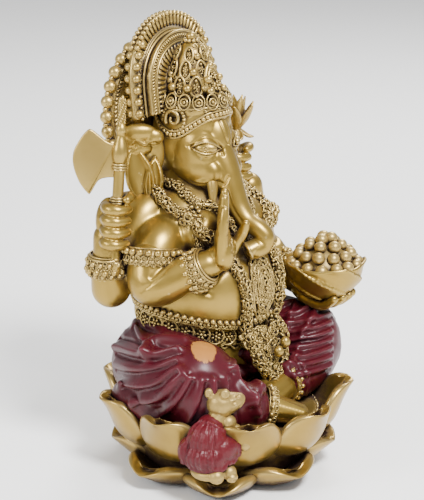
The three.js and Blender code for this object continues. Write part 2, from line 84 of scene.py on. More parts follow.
def smoothRoute(stations, steps=6):        # a smooth curve through stations, which are rows of numbers
    rows = np.array([tuple(s) for s in stations], dtype=float)
    rows = np.vstack([2 * rows[0] - rows[1], rows, 2 * rows[-1] - rows[-2]])
    route = []
    for i in range(1, len(rows) - 2):
        a, b, c, d = rows[i - 1:i + 3]
        for k in range(steps):
            t = k / steps
            bend = (2 * a - 5 * b + 4 * c - d) * t * t + (3 * b - a - 3 * c + d) * t ** 3
            route.append((2 * b + (c - a) * t + bend) / 2)
    route.append(rows[-2])
    return route


def spaced(points, gap):        # the same route again, with a point every gap millimetres
    spots = [Vector(p[:3]) for p in points]
    lengths = [(b - a).length for a, b in zip(spots, spots[1:])]
    count = max(int(round(sum(lengths) / gap)), 2)
    result, start, i = [], 0.0, 0
    for k in range(count + 1):
        wanted = sum(lengths) * k / count
        while i < len(lengths) - 1 and start + lengths[i] < wanted:
            start += lengths[i]
            i += 1
        share = (wanted - start) / max(lengths[i], 1e-6)
        result.append(spots[i].lerp(spots[i + 1], min(share, 1)))
    return result


def egg(bm, centre, radii, turn=(0, 0, 0), detail=3):
    place = Matrix.LocRotScale(centre, Euler(turn), Vector(radii))
    bmesh.ops.create_icosphere(bm, subdivisions=detail, radius=1, matrix=place)


def limb(bm, stations, steps=9, detail=2, place=onSeat):        # stations are x, y, z and radius
    for x, y, z, radius in smoothRoute(stations, steps):
        egg(bm, place(x, y, z), (radius, radius, radius), detail=detail)


def soften(bm, factor):
    bmesh.ops.smooth_vert(bm, verts=bm.verts, factor=factor, use_axis_x=True, use_axis_y=True,
                          use_axis_z=True)


def fuse(bm, grain, softening):        # melts overlapping shapes into one skin, as clay is worked
    mesh = bpy.data.meshes.new("clay")
    bm.to_mesh(mesh)
    bm.free()
    lump = bpy.data.objects.new("clay", mesh)
    bpy.context.scene.collection.objects.link(lump)
    remesh = lump.modifiers.new("fuse", "REMESH")
    remesh.mode = "VOXEL"
    remesh.voxel_size = grain
    skin = bmesh.new()
    skin.from_object(lump, bpy.context.evaluated_depsgraph_get())
    bpy.data.objects.remove(lump)
    bpy.data.meshes.remove(mesh)
    for _ in range(softening):
        soften(skin, 0.5)
    return skin


def cutBelow(bm, foot, weld):        # takes off what is lower than foot and closes the hole
    bmesh.ops.bisect_plane(bm, geom=bm.verts[:] + bm.edges[:] + bm.faces[:], dist=weld, plane_co=foot,
                           plane_no=(0, 0, -1), clear_outer=True)
    bmesh.ops.holes_fill(bm, edges=[e for e in bm.edges if e.is_boundary], sides=0)


def lathe(bm, outline, steps, weld=1e-3):        # turns an outline of (radius, height) about the upright axis
    closed = tuple(outline[0]) == tuple(outline[-1])
    verts = [bm.verts.new((s[0], 0, s[1])) for s in (outline[:-1] if closed else outline)]
    edges = [bm.edges.new(pair) for pair in zip(verts, verts[1:] + (verts[:1] if closed else []))]
    bmesh.ops.spin(bm, geom=edges, cent=(0, 0, 0), axis=(0, 0, 1), angle=fullTurn, steps=steps,
                   use_merge=True)
    bmesh.ops.remove_doubles(bm, verts=bm.verts, dist=weld)


def wholeTurn(steps):
    return np.linspace(0, fullTurn, steps + 1)[:-1]


def level(angle):        # a level way, counted from the right-hand side
    return Vector((math.cos(angle), math.sin(angle), 0))


def spotsOf(bm):
    return np.array([v.co[:] for v in bm.verts])


def raiseSkin(bm, lift):        # moves every vertex out along its normal by lift millimetres
    bm.normal_update()
    for vert, amount in zip(bm.verts, lift):
        vert.co += vert.normal * float(amount)


def distanceTo(spots, route):
    best = np.full(len(spots), 1e6)
    for a, b in zip(route, route[1:]):
        a, b = np.array(a), np.array(b)
        along = b - a
        share = np.clip(((spots - a) @ along) / max(along @ along, 1e-9), 0, 1)
        best = np.minimum(best, np.linalg.norm(spots - (a + share[:, None] * along), axis=1))
    return best


# tooled lines on the skin: (points, width, height), a groove where height is negative
def press(bm, strokes):
    bm.normal_update()
    tree = BVHTree.FromBMesh(bm)
    spots = spotsOf(bm)
    lift = np.zeros(len(spots))
    for points, width, height in strokes:
        route = [tree.find_nearest(Vector(p))[0] for p in smoothRoute(points, 6)]
        low = np.min([r[:] for r in route], axis=0) - 3 * width
        high = np.max([r[:] for r in route], axis=0) + 3 * width
        near = np.all((spots > low) & (spots < high), axis=1)
        lift[near] += height * np.exp(-(distanceTo(spots[near], [r[:] for r in route]) / width) ** 2)
    raiseSkin(bm, lift)


def facing(spot, out, up=(0, 0, 1), size=1.0, roll=0.0):        # a place whose Z axis looks along out
    z = Vector(out).normalized()
    x = Vector(up).cross(z)
    x = x.normalized() if x.length > 1e-4 else Vector((1, 0, 0))
    turn = Matrix((x, z.cross(x), z)).transposed().to_4x4()
    sizes = (size, size, size) if isinstance(size, (int, float)) else size
    return Matrix.Translation(Vector(spot)) @ turn @ Matrix.Rotation(roll, 4,
                                                                     "Z") @ Matrix.Diagonal((*sizes, 1))


def stamp(bm, shape, place):        # presses a copy of a small ready-made shape into place
    copy = shape.copy()
    copy.transform(place)
    bm.from_mesh(copy)
    bpy.data.meshes.remove(copy)


def asShape(bm):
    bmesh.ops.recalc_face_normals(bm, faces=bm.faces)
    mesh = bpy.data.meshes.new("shape")
    bm.to_mesh(mesh)
    bm.free()
    return mesh


def tube(bm, route, radius, sides=6, closed=False, taper=None):        # a round wire along a route
    spots = [Vector(p[:3]) for p in route]
    count = len(spots)
    rings = []
    up = Vector((0.13, 0.21, 1)).normalized()
    for i, spot in enumerate(spots):
        before = spots[(i - 1) % count] if closed or i > 0 else spot
        after = spots[(i + 1) % count] if closed or i < count - 1 else spot
        thick = radius * (taper(i / (count - 1)) if taper else 1)
        place = facing(spot, after - before, up=up)
        ring = bmesh.ops.create_circle(bm, cap_ends=False, radius=thick, segments=sides,
                                       matrix=place)["verts"]
        rings.append({e for v in ring for e in v.link_edges})
    for a, b in zip(rings, rings[1:] + ([rings[0]] if closed else [])):
        bmesh.ops.bridge_loops(bm, edges=list(a | b))
    if not closed:
        bmesh.ops.holes_fill(bm, edges=list(rings[0]) + list(rings[-1]), sides=sides)


def ringOf(radius, wire, around=12, sides=5):
    bm = bmesh.new()
    place = Matrix.Translation((radius, 0, 0)) @ Matrix.Rotation(math.pi / 2, 4, "X")
    wireLoop = bmesh.ops.create_circle(bm, cap_ends=False, radius=wire, segments=sides, matrix=place)["verts"]
    edges = list({e for v in wireLoop for e in v.link_edges})
    bmesh.ops.spin(bm, geom=edges, cent=(0, 0, 0), axis=(0, 0, 1), angle=fullTurn, steps=around,
                   use_merge=True)
    bmesh.ops.remove_doubles(bm, verts=bm.verts, dist=1e-4)
    return asShape(bm)


def beadOf(around, up):
    bm = bmesh.new()
    bmesh.ops.create_uvsphere(bm, u_segments=around, v_segments=up, radius=1)
    return asShape(bm)


def floretOf(petals):
    bm = bmesh.new()
    for i in range(petals):
        turn = Matrix.Rotation(fullTurn * i / petals, 4, "Z")
        place = turn @ Matrix.Translation((0.66, 0, 0.05)) @ Matrix.Diagonal((0.4, 0.26, 0.24, 1))
        bmesh.ops.create_uvsphere(bm, u_segments=6, v_segments=4, radius=1, matrix=place)
    bmesh.ops.create_uvsphere(bm, u_segments=6, v_segments=4, radius=0.33,
                              matrix=Matrix.Translation((0, 0, 0.14)))
    return asShape(bm)


def scrollOf(turns=1.4, steps=13):
    bm = bmesh.new()
    route = []
    for i in range(steps):
        t = i / (steps - 1)
        angle = fullTurn * turns * t
        reach = 1 - 0.78 * t
        route.append((reach * math.cos(angle), reach * math.sin(angle), 0.1))
    tube(bm, route, 0.17, sides=5)
    return asShape(bm)


shapes = {
    "pearl": beadOf(12, 8),
    "bead": beadOf(8, 6),
    "seed": beadOf(6, 4),
    "ring": ringOf(1.0, 0.28, around=9, sides=4),
    "fineRing": ringOf(1.0, 0.13, around=14, sides=4),
    "floret": floretOf(5),
    "star": floretOf(6),
    "scroll": scrollOf(),
}


# turns the model into metres and hands it over
def finish(name, bm, material, slot, *nodes, rounding=0):
    bmesh.ops.scale(bm, vec=(1 / perMetre,) * 3, verts=bm.verts)
    for face in bm.faces:
        face.smooth = True
    mesh = bpy.data.meshes.new(name)
    bm.to_mesh(mesh)
    bm.free()
    mesh.materials.append(material)
    piece = bpy.data.objects.new(name, mesh)
    bpy.context.scene.collection.objects.link(piece)
    if rounding:
        rounded = piece.modifiers.new("rounding", "SUBSURF")
        rounded.levels = rounded.render_levels = rounding
    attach(piece, "root")
    if nodes:
        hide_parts(*nodes)
    print("made", name, len(mesh.polygons), "faces")
    return piece


def leaf(bm, root, tip, width, out, cup=0.0, thick=1.0, bend=0.0, rim=0.0, swell=0.8, blunt=0.8, curl=0.0,
         across=8, along=12):        # a petal or leaf from root to tip, whose face looks along out
    root, tip, out = Vector(root), Vector(tip), Vector(out).normalized()
    length = tip - root
    side = length.cross(out).normalized()
    sheet = bmesh.new()
    bmesh.ops.create_grid(sheet, x_segments=across, y_segments=along, size=1)
    for vert in sheet.verts:
        u, v = vert.co.x, 1 - ((1 - vert.co.y) / 2) ** 1.8        # rows lie closer together towards the tip
        spread = max(math.sin(math.pi * (0.04 + 0.96 * v) ** swell), 0) ** blunt
        half = width / 2 * spread
        lift = bend * math.sin(math.pi * v) + (cup * u * u + rim * abs(u) ** 6) * spread
        lift -= curl * max(v - 0.62, 0) ** 2 * 6.9
        vert.co = root + length * v + side * (u * half) + out * lift
    bmesh.ops.remove_doubles(sheet, verts=sheet.verts, dist=0.02)
    bmesh.ops.recalc_face_normals(sheet, faces=sheet.faces)
    bmesh.ops.solidify(sheet, geom=sheet.faces, thickness=thick)
    mesh = asShape(sheet)
    bm.from_mesh(mesh)
    bpy.data.meshes.remove(mesh)


def nodeGroup(name, inputs, outputs):
    group = bpy.data.node_groups.new(name, "ShaderNodeTree")
    for label, start in inputs:
        group.interface.new_socket(label, in_out="INPUT", socket_type="NodeSocketFloat").default_value = start
    for label in outputs:
        group.interface.new_socket(label, in_out="OUTPUT", socket_type="NodeSocketFloat")
    return group, group.nodes.new("NodeGroupInput"), group.nodes.new("NodeGroupOutput")


def addNode(tree, kind, settings=None, **values):
    node = tree.nodes.new(kind)
    for key, value in (settings or {}).items():
        setattr(node, key, value)
    for key, value in values.items():
        node.inputs[key.replace("_", " ")].default_value = value
    return node


def maths(tree, operation, a, b=None, clamp=False):
    node = addNode(tree, "ShaderNodeMath", {"operation": operation, "use_clamp": clamp})
    for socket, value in zip(node.inputs, (a, b)):
        if isinstance(value, (int, float)):
            socket.default_value = value
        elif value is not None:
            tree.links.new(value, socket)
    return node.outputs[0]


def makeWashShadeAndRubHighlight():        # dark wash in the hollows, partly antique wash and partly painted shade where parts meet; lighter on sharp edges, partly rubbed wear and partly painted highlight
    group, source, sink = nodeGroup("washShadeAndRubHighlight", [("Reach", 0.003), ("Strength", 1.0), ("Mottle", 260.0)],
                                    ["Wash", "Rub"])
    where = group.nodes.new("ShaderNodeTexCoord")
    # painted shade: ambient occlusion, reaching onto neighbouring pieces, darkens hollows and the joins
    # between parts
    hollow = addNode(group, "ShaderNodeAmbientOcclusion", {"samples": 8, "only_local": False})
    group.links.new(source.outputs["Reach"], hollow.inputs["Distance"])
    mottle = addNode(group, "ShaderNodeTexNoise", Detail=3.0, Roughness=0.6)
    group.links.new(where.outputs["Object"], mottle.inputs["Vector"])
    group.links.new(source.outputs["Mottle"], mottle.inputs["Scale"])
    shade = maths(group, "SUBTRACT", 1.0, hollow.outputs["AO"])
    varied = maths(group, "MULTIPLY", shade, maths(group, "ADD", mottle.outputs["Fac"], 0.55))
    deep = addNode(group, "ShaderNodeMapRange", {"interpolation_type": "SMOOTHSTEP"}, From_Min=0.30,
                   From_Max=0.84)
    group.links.new(varied, deep.inputs["Value"])
    group.links.new(maths(group, "MULTIPLY", deep.outputs[0], source.outputs["Strength"], clamp=True),
                    sink.inputs["Wash"])
    # painted highlight: pointiness lightens sharp convex edges, partly as rubbed wear
    form = group.nodes.new("ShaderNodeNewGeometry")
    high = addNode(group, "ShaderNodeMapRange", {"interpolation_type": "SMOOTHSTEP"}, From_Min=0.5,
                   From_Max=0.6)
    group.links.new(form.outputs["Pointiness"], high.inputs["Value"])
    group.links.new(high.outputs[0], sink.inputs["Rub"])
    return group


def makeBrushGrain():        # fine unevenness of brushed and cast paint
    group, source, sink = nodeGroup("brushGrain", [("Scale", 900.0)], ["Height", "Tone"])
    where = group.nodes.new("ShaderNodeTexCoord")
    fine = addNode(group, "ShaderNodeTexNoise", Detail=4.0, Roughness=0.65)
    broad = addNode(group, "ShaderNodeTexNoise", Scale=70.0, Detail=3.0, Roughness=0.55)
    for texture in (fine, broad):
        group.links.new(where.outputs["Object"], texture.inputs["Vector"])
    group.links.new(source.outputs["Scale"], fine.inputs["Scale"])
    group.links.new(maths(group, "ADD", maths(group, "MULTIPLY", fine.outputs["Fac"], 0.6),
                          broad.outputs["Fac"]),
                    sink.inputs["Height"])
    group.links.new(broad.outputs["Fac"], sink.inputs["Tone"])
    return group


washShadeAndRubHighlight = makeWashShadeAndRubHighlight()
brushGrain = makeBrushGrain()


def mix(tree, share, a, b):        # a where share is 0, b where it is 1
    node = addNode(tree, "ShaderNodeMix", {"data_type": "RGBA"})
    tree.links.new(share, node.inputs["Factor"])
    for socket, value in ((node.inputs[6], a), (node.inputs[7], b)):
        if isinstance(value, tuple):
            socket.default_value = (*value, 1)
        else:
            tree.links.new(value, socket)
    return node.outputs[2]


def castPaint(name, looks):
    material = bpy.data.materials.new(name)
    material.use_nodes = True
    tree = material.node_tree
    surface = tree.nodes["Principled BSDF"]
    wash = addNode(tree, "ShaderNodeGroup", {"node_tree": washShadeAndRubHighlight})
    wash.inputs["Reach"].default_value = looks["washShadeReach"]
    wash.inputs["Strength"].default_value = looks["washShadeStrength"]
    grain = addNode(tree, "ShaderNodeGroup", {"node_tree": brushGrain})
    grain.inputs["Scale"].default_value = looks["grainScale"]
    tone = mix(tree, grain.outputs["Tone"], looks["shade"], looks["body"])
    if "worn" in looks:
        tone = mix(tree, wornPatch(tree, looks["worn"]), tone, looks["worn"]["colour"])
    # sharp edges go lighter: partly rubbed wear, partly a painted highlight
    worn = maths(tree, "MULTIPLY", wash.outputs["Rub"], looks["rubHighlightStrength"])
    rubAndHighlightTone = mix(tree, worn, tone, looks["rub"])
    # the dark wash colour in hollows and joins is painted shade as well as antique wash
    tree.links.new(mix(tree, wash.outputs["Wash"], rubAndHighlightTone, looks["wash"]), surface.inputs["Base Color"])
    dull = maths(tree, "MULTIPLY", wash.outputs["Wash"], looks["washShadeRoughness"] - looks["roughness"])
    uneven = maths(tree, "MULTIPLY", grain.outputs["Tone"], 0.12)
    tree.links.new(maths(tree, "ADD", maths(tree, "ADD", dull, looks["roughness"] - 0.06), uneven),
                   surface.inputs["Roughness"])
    metal = maths(tree, "MULTIPLY", wash.outputs["Wash"], -looks["metal"] * 0.85)
    tree.links.new(maths(tree, "ADD", metal, looks["metal"], clamp=True), surface.inputs["Metallic"])
    bump = addNode(tree, "ShaderNodeBump", Strength=looks["bump"], Distance=0.0002)
    tree.links.new(grain.outputs["Height"], bump.inputs["Height"])
    tree.links.new(bump.outputs["Normal"], surface.inputs["Normal"])
    for socket, value in looks.get("surface", {}).items():
        surface.inputs[socket].default_value = value
    return material


def wornPatch(tree, patch):        # where the red paint is rubbed through, with scratched edges
    where = tree.nodes.new("ShaderNodeTexCoord")
    place = addNode(tree, "ShaderNodeMapping", {"vector_type": "TEXTURE"})
    place.inputs["Location"].default_value = patch["centre"]
    place.inputs["Rotation"].default_value = patch["turn"]
    place.inputs["Scale"].default_value = patch["size"]
    tree.links.new(where.outputs["Object"], place.inputs["Vector"])
    reach = addNode(tree, "ShaderNodeVectorMath", {"operation": "LENGTH"})
    tree.links.new(place.outputs[0], reach.inputs[0])
    ragged = addNode(tree, "ShaderNodeTexNoise", Scale=2.6, Detail=5.0, Roughness=0.7)
    tree.links.new(place.outputs[0], ragged.inputs["Vector"])
    stretched = addNode(tree, "ShaderNodeMapping", Rotation=(0.0, 0.0, 0.5), Scale=(1.0, 9.0, 1.0))
    tree.links.new(place.outputs[0], stretched.inputs["Vector"])
    scratch = addNode(tree, "ShaderNodeTexNoise", Scale=1.6, Detail=4.0, Roughness=0.7)
    tree.links.new(stretched.outputs[0], scratch.inputs["Vector"])
    uneven = maths(tree, "ADD", reach.outputs["Value"], maths(tree, "MULTIPLY", ragged.outputs["Fac"], 0.5))
    uneven = maths(tree, "ADD", uneven, maths(tree, "MULTIPLY", scratch.outputs["Fac"], 0.55))
    edge = addNode(tree, "ShaderNodeMapRange", {"interpolation_type": "SMOOTHSTEP"}, From_Min=1.52,
                   From_Max=1.42)
    tree.links.new(uneven, edge.inputs["Value"])
    return edge.outputs[0]


# wash is the dark of the painted shade and antique wash, rub the light gold of the painted highlight and
# rubbed edges
goldLooks = {
    "body": (0.43, 0.292, 0.064), "shade": (0.25, 0.155, 0.026), "rub": (0.74, 0.57, 0.24),
    "wash": (0.030, 0.012, 0.008),
    "rubHighlightStrength": 0.32, "washShadeReach": 0.0075, "washShadeStrength": 1.0, "roughness": 0.34, "washShadeRoughness": 0.6,
    "metal": 0.88, "grainScale": 900.0, "bump": 0.14,
}
paleLooks = dict(goldLooks, body=(0.44, 0.305, 0.076), shade=(0.29, 0.185, 0.038), rub=(0.80, 0.63, 0.30),
                 roughness=0.38, metal=0.75, washShadeReach=0.006)
# the lotus has the widest wash reach, which spreads painted shade into the gaps between its petals
lotusLooks = dict(paleLooks, body=(0.40, 0.268, 0.062), shade=(0.23, 0.14, 0.026), roughness=0.30, metal=0.82,
                  washShadeReach=0.011)
mouseLooks = dict(paleLooks, body=(0.44, 0.31, 0.095), shade=(0.28, 0.18, 0.045), metal=0.75, roughness=0.45,
                  bump=0.5)
# on the red cloth the wash paints shade into the folds and the rub paints highlight on their ridges
clothLooks = {
    "body": (0.072, 0.0035, 0.0085), "shade": (0.030, 0.0016, 0.005), "rub": (0.17, 0.035, 0.05),
    "wash": (0.008, 0.001, 0.004),
    "rubHighlightStrength": 0.4, "washShadeReach": 0.006, "washShadeStrength": 0.95, "roughness": 0.34, "washShadeRoughness": 0.6,
    "metal": 0.05, "grainScale": 700.0, "bump": 0.12,
    "surface": {"Specular IOR Level": 0.28},
}
wornKnee = {"centre": onSeat(-44.5, -10, 42) / perMetre, "turn": (0.1, -0.2, 0.75),
            "size": (0.0095, 0.0062, 0.009),
            "colour": (0.36, 0.15, 0.032)}
finishes = {
    "gold": castPaint("antiqueGoldWithPaintedShade", goldLooks),
    "paleGold": castPaint("paleRubbedAndHighlitGold", paleLooks),
    "lotusGold": castPaint("lotusGold", lotusLooks),
    "mouseGold": castPaint("mouseCreamGold", mouseLooks),
    "cloth": castPaint("burgundyDhoti", dict(clothLooks, worn=wornKnee)),
    "vest": castPaint("burgundyVest", dict(clothLooks, body=(0.105, 0.006, 0.010), shade=(0.05, 0.003, 0.006),
                                           bump=0.9)),
}
print("finishes ready")


def finishGold(name, bm, *nodes):
    return finish(name, bm, finishes["gold"], "antique_gold", *nodes)


# the torso, with the two rear arms and the tops of the front ones, is worked as one lump of clay
torsoMake = {
    "grain": 0.72, "softening": 14,
    "eggs": [((0, 28, 22), (38, 32, 26)), ((0, 23, 57), (38.5, 33.5, 32)), ((0, 30, 88), (31, 23, 22)),
             ((-14, 14, 87), (14, 11, 12)), ((14, 14, 87), (14, 11, 12)), ((0, 38, 70), (32, 20, 30))],
    "limbs": [
        [(0, 32, 98, 18), (0, 33, 109, 14.5)],
        [(-22, 30, 84, 13), (-32, 27, 82, 12.4), (-38.5, 25.5, 75.5, 11.2), (-42, 24, 71, 10.8)],
        [(22, 30, 84, 13), (32, 27, 82, 12.4), (39.5, 27, 75.5, 11.2), (43, 27.5, 70, 10.8)],
        [(-20, 40, 95, 12), (-29, 40, 92, 11), (-41, 42.5, 75, 10), (-47, 44, 61, 9.6)],
        [(-47, 44, 61, 9.6), (-49.5, 43.5, 69, 8.2), (-50, 43, 80, 7.2), (-49.5, 43.5, 87, 7)],
        [(20, 40, 95, 12), (29, 40, 92, 11), (42, 42.5, 75, 10), (50, 44, 61, 9.6)],
        [(50, 44, 61, 9.6), (52, 40, 70, 8.2), (50, 34.5, 82, 7.2), (48.5, 34, 93, 6.8)],
    ],
    "folds": [        # creases where the belly, chest and arms meet
        ([(-33, -2, 66), (-22, -6, 76), (-8, -8, 80), (8, -8, 80), (22, -6, 76), (33, -2, 66)], 2.4, -1.5),
        ([(-24, 9, 100), (-25, 10, 90), (-24, 8, 82)], 2.2, -1.2),
        ([(24, 9, 100), (25, 10, 90), (24, 8, 82)], 2.2, -1.2),
        ([(0, 4, 100), (0, 2, 92), (0, 0, 84)], 3.0, -1.3),
        ([(0, 60, 100), (0, 60, 70), (0, 60, 45)], 4.0, -2.0),
        ([(-24, 55, 92), (-16, 58, 84), (-8, 60, 82)], 3.5, -1.0),
        ([(24, 55, 92), (16, 58, 84), (8, 60, 82)], 3.5, -1.0),
        ([(-33, 12, 73), (-31, 6, 66), (-27, 0, 62)], 1.8, -0.9),
        ([(33, 12, 73), (31, 6, 66), (27, 0, 62)], 1.8, -0.9),
    ],
}
torso = bmesh.new()
for centre, radii in torsoMake["eggs"]:
    egg(torso, onSeat(*centre), radii, detail=4)
coreTree = BVHTree.FromBMesh(torso)        # the body without its arms, for what goes round the waist
for stations in torsoMake["limbs"]:
    limb(torso, stations, detail=3)
torso = fuse(torso, torsoMake["grain"], torsoMake["softening"])
press(torso, [([onSeat(*p) for p in points], width, height) for points, width, height in torsoMake["folds"]])
bodyTree = BVHTree.FromBMesh(torso)
finishGold("torso", torso, "torso", "right_rear_arm", "left_rear_arm")

frontArms = {
    "grain": 0.5, "softening": 6,
    "right": [(-40.5, 24.8, 76, 10.9), (-43.5, 22.5, 68, 11), (-42.5, 18, 67, 10.6), (-38, 11, 70.5, 9.3),
              (-33, 4, 74.5, 7.8),
              (-30, -0.5, 77, 6.6)],
    "left": [(41, 27, 76, 10.9), (45, 28, 65, 11.2), (46.5, 22, 60, 10.4), (46, 14, 55, 8.6),
             (46, 9, 52, 7.0),
             (46.5, 2, 49, 6.6)],
    "creases": [([(-50, 16, 72), (-40, 13, 76), (-33, 15, 76)], 1.2, -0.9),
                ([(-52, 20, 66), (-46, 14, 71), (-40, 10, 76)], 1.0, -0.5),
                ([(54, 20, 70), (46, 15, 67), (38, 17, 68)], 1.2, -0.9)],
}
for side, node in (("right", "right_front_arm"), ("left", "left_front_arm")):
    arm = bmesh.new()
    limb(arm, frontArms[side], detail=3)
    if side == "left":        # the hand held flat under the bowl, with the fingers along its side
        egg(arm, onSeat(47.5, -4, 45), (9.5, 9, 4.6), turn=(0.25, 0, 0))
        for k in range(4):
            x = 39.5 + 5.1 * k
            limb(arm, [(x, -6, 44, 2.9), (x + 0.4, -14, 41.8, 2.8), (x + 0.4, -21 + abs(k - 1.6), 42.5, 2.6),
                       (x + 0.3, -27 + abs(k - 1.6) * 1.5, 46.5, 2.3)])
        limb(arm, [(53, 0, 47, 3.4), (60, -4, 48, 3.0), (66.5, -8, 51.5, 2.5)])
    arm = fuse(arm, frontArms["grain"], frontArms["softening"])
    press(arm, [([onSeat(*p) for p in points], width, height)
                for points, width, height in frontArms["creases"]])
    finishGold(side + "FrontArm", arm, node)

# the raised right hand, built in a frame of its own: across the palm, out of it, and up
blessingMake = {
    "palm": (-22.4, -3.8, -4), "turn": 0.66, "grain": 0.36, "softening": 4,
    "fingers": [((-7.6, -0.5, 84), (-8.0, -0.2, 95), (-7.6, 0.4, 103), (-6.6, 0.9, 108)),
                ((-2.6, -0.4, 85), (-2.8, 0.0, 98), (-2.4, 0.5, 107), (-2.0, 0.8, 112.2)),
                ((2.6, -0.4, 85), (2.8, 0.0, 99), (2.4, 0.5, 109), (2.0, 0.8, 114)),
                ((7.6, -0.5, 84), (8.0, -0.2, 97), (7.4, 0.4, 106), (6.6, 0.9, 111.4))],
    "fingerRadii": (3.2, 2.8, 2.5, 2.0),
    "thumb": [(6.5, 0.5, 78, 3.6), (9.2, 3.5, 83, 3.3), (9.4, 7, 88.5, 2.8), (8.0, 9.8, 94, 2.5),
              (7.2, 10.8, 97.5, 1.9)],
}
palmFrame = Matrix.Translation(onSeat(*blessingMake["palm"])) @ Matrix.Rotation(blessingMake["turn"], 4, "Z")


def onPalm(across, out, up):
    return palmFrame @ Vector((across, -out, up))


hand = bmesh.new()
palmTurn = (0, 0, blessingMake["turn"])
egg(hand, onPalm(0, 0, 90), (10.2, 4.1, 10), turn=palmTurn)
egg(hand, onPalm(-6, 0.8, 86), (4.6, 4.4, 7.5), turn=palmTurn)
egg(hand, onPalm(5.0, 1.6, 86), (5.4, 4.6, 7), turn=palmTurn)
limb(hand, [(-30.6, 0.6, 76, 6.6), (-27, -1.8, 78, 6.6), (-23.6, -3.6, 80.5, 6.0)])
for points in blessingMake["fingers"]:
    limb(hand, [(*p, r) for p, r in zip(points, blessingMake["fingerRadii"])], place=onPalm)
limb(hand, blessingMake["thumb"], place=onPalm)
hand = fuse(hand, blessingMake["grain"], blessingMake["softening"])
lines = []
for points in blessingMake["fingers"]:
    for height, reach in ((103.5, 2.2), (97, 2.4)):
        x = points[2][0]
        lines.append(([onPalm(x - reach, 3, height), onPalm(x, 3.4, height), onPalm(x + reach, 3, height)],
                      0.4, -0.3))
        lines.append(([onPalm(x - reach, -3, height), onPalm(x, -3.4, height), onPalm(x + reach, -3, height)],
                      0.5, -0.25))
    tip = points[3]
    nail = [onPalm(tip[0] + 1.3 * math.cos(t), -3, tip[2] - 1.6 + 1.9 * math.sin(t))
            for t in np.linspace(0, fullTurn, 9)]
    lines.append((nail, 0.3, -0.28))
for height, bow in ((92.5, 1.5), (88.5, -1.5)):
    lines.append(([onPalm(-8, 4, height), onPalm(-2, 4, height + bow), onPalm(4, 4, height + bow),
                   onPalm(8, 4, height - bow)],
                  0.55, -0.4))
press(hand, lines)
for i in range(8):        # a small flower raised on the palm
    turn = fullTurn * i / 8
    spot = onPalm(-0.5 + 2.7 * math.cos(turn), 4.1, 89 + 2.7 * math.sin(turn))
    stamp(hand, shapes["seed"], facing(spot, palmFrame.to_3x3() @ Vector((0, -1, 0)), size=(0.95, 0.95, 0.6)))
stamp(hand, shapes["floret"], facing(onPalm(-0.5, 4.2, 89), palmFrame.to_3x3() @ Vector((0, -1, 0)),
                                     size=1.6))
finishGold("blessingHand", hand, "right_blessing_hand")

# a hand closed round an upright rod, fingers wrapped over the side towards front and right
fistMake = {"grain": 0.36, "softening": 3, "fingerGap": 5.4, "fingerRadius": 2.95, "wrap": (115, 290),
            "reach": 5.3}


def makeFist(bm, rodLow, rodHigh, centreZ, wrap, palmSide, scale=1.0):
    rodLow, rodHigh = Vector(rodLow), Vector(rodHigh)

    def onRod(angle, reach, height):
        share = (centreZ + height - rodLow.z) / (rodHigh.z - rodLow.z)
        spot = rodLow.lerp(rodHigh, share)
        angle = math.radians(angle)
        return (spot.x + reach * math.cos(angle), spot.y + reach * math.sin(angle), centreZ + height)

    palm = onRod(palmSide, 6.4 * scale, 0)
    egg(bm, onSeat(*palm), (6.6 * scale, 5.6 * scale, 12 * scale), turn=(0, 0, math.radians(palmSide - 90)))
    for k in range(4):
        height = (1.5 - k) * fistMake["fingerGap"] * scale
        angles = np.linspace(wrap[0], wrap[1] - 8 * (k % 2), 6)
        reach = fistMake["reach"] * scale
        radii = np.interp(range(6), [0, 2, 5], [1.0, 1.02, 0.78]) * fistMake["fingerRadius"] * scale
        limb(bm, [(*onRod(a, reach + (0.8 if 1 < i < 4 else 0), height + 0.4 * math.sin(i)), radii[i])
                  for i, a in enumerate(angles)], steps=6)
    inward = palmSide - 75 if wrap[1] > wrap[0] else palmSide + 75
    limb(bm, [(*onRod(palmSide, 5, 8 * scale), 3.4 * scale), (*onRod(inward, 6.3, 11.5 * scale), 3.0 * scale),
              (*onRod(inward - 50, 5.6, 12.6 * scale), 2.6 * scale),
              (*onRod(inward - 85, 5.2, 12.2 * scale), 2.2 * scale)])


axeRod = ((-52.4, 37, 74), (-41.8, 39.5, 154))
stemRod = ((45, 36, 89.4), (43, 38, 122))
fist = bmesh.new()
makeFist(fist, *axeRod, 94, fistMake["wrap"], 75)
limb(fist, [(-49.8, 43.2, 80, 6.8), (-49.4, 43.6, 86, 6.8)])
fist = fuse(fist, fistMake["grain"], fistMake["softening"])
finishGold("axeHand", fist, "right_rear_arm")
fist = bmesh.new()
makeFist(fist, *stemRod, 101.5, (110, 285), 70, scale=0.92)
limb(fist, [(48.8, 34, 88, 6.6), (47.6, 37, 95, 6.4)])
fist = fuse(fist, fistMake["grain"], fistMake["softening"])
finishGold("flowerHand", fist, "left_rear_arm")
print("body and hands done")

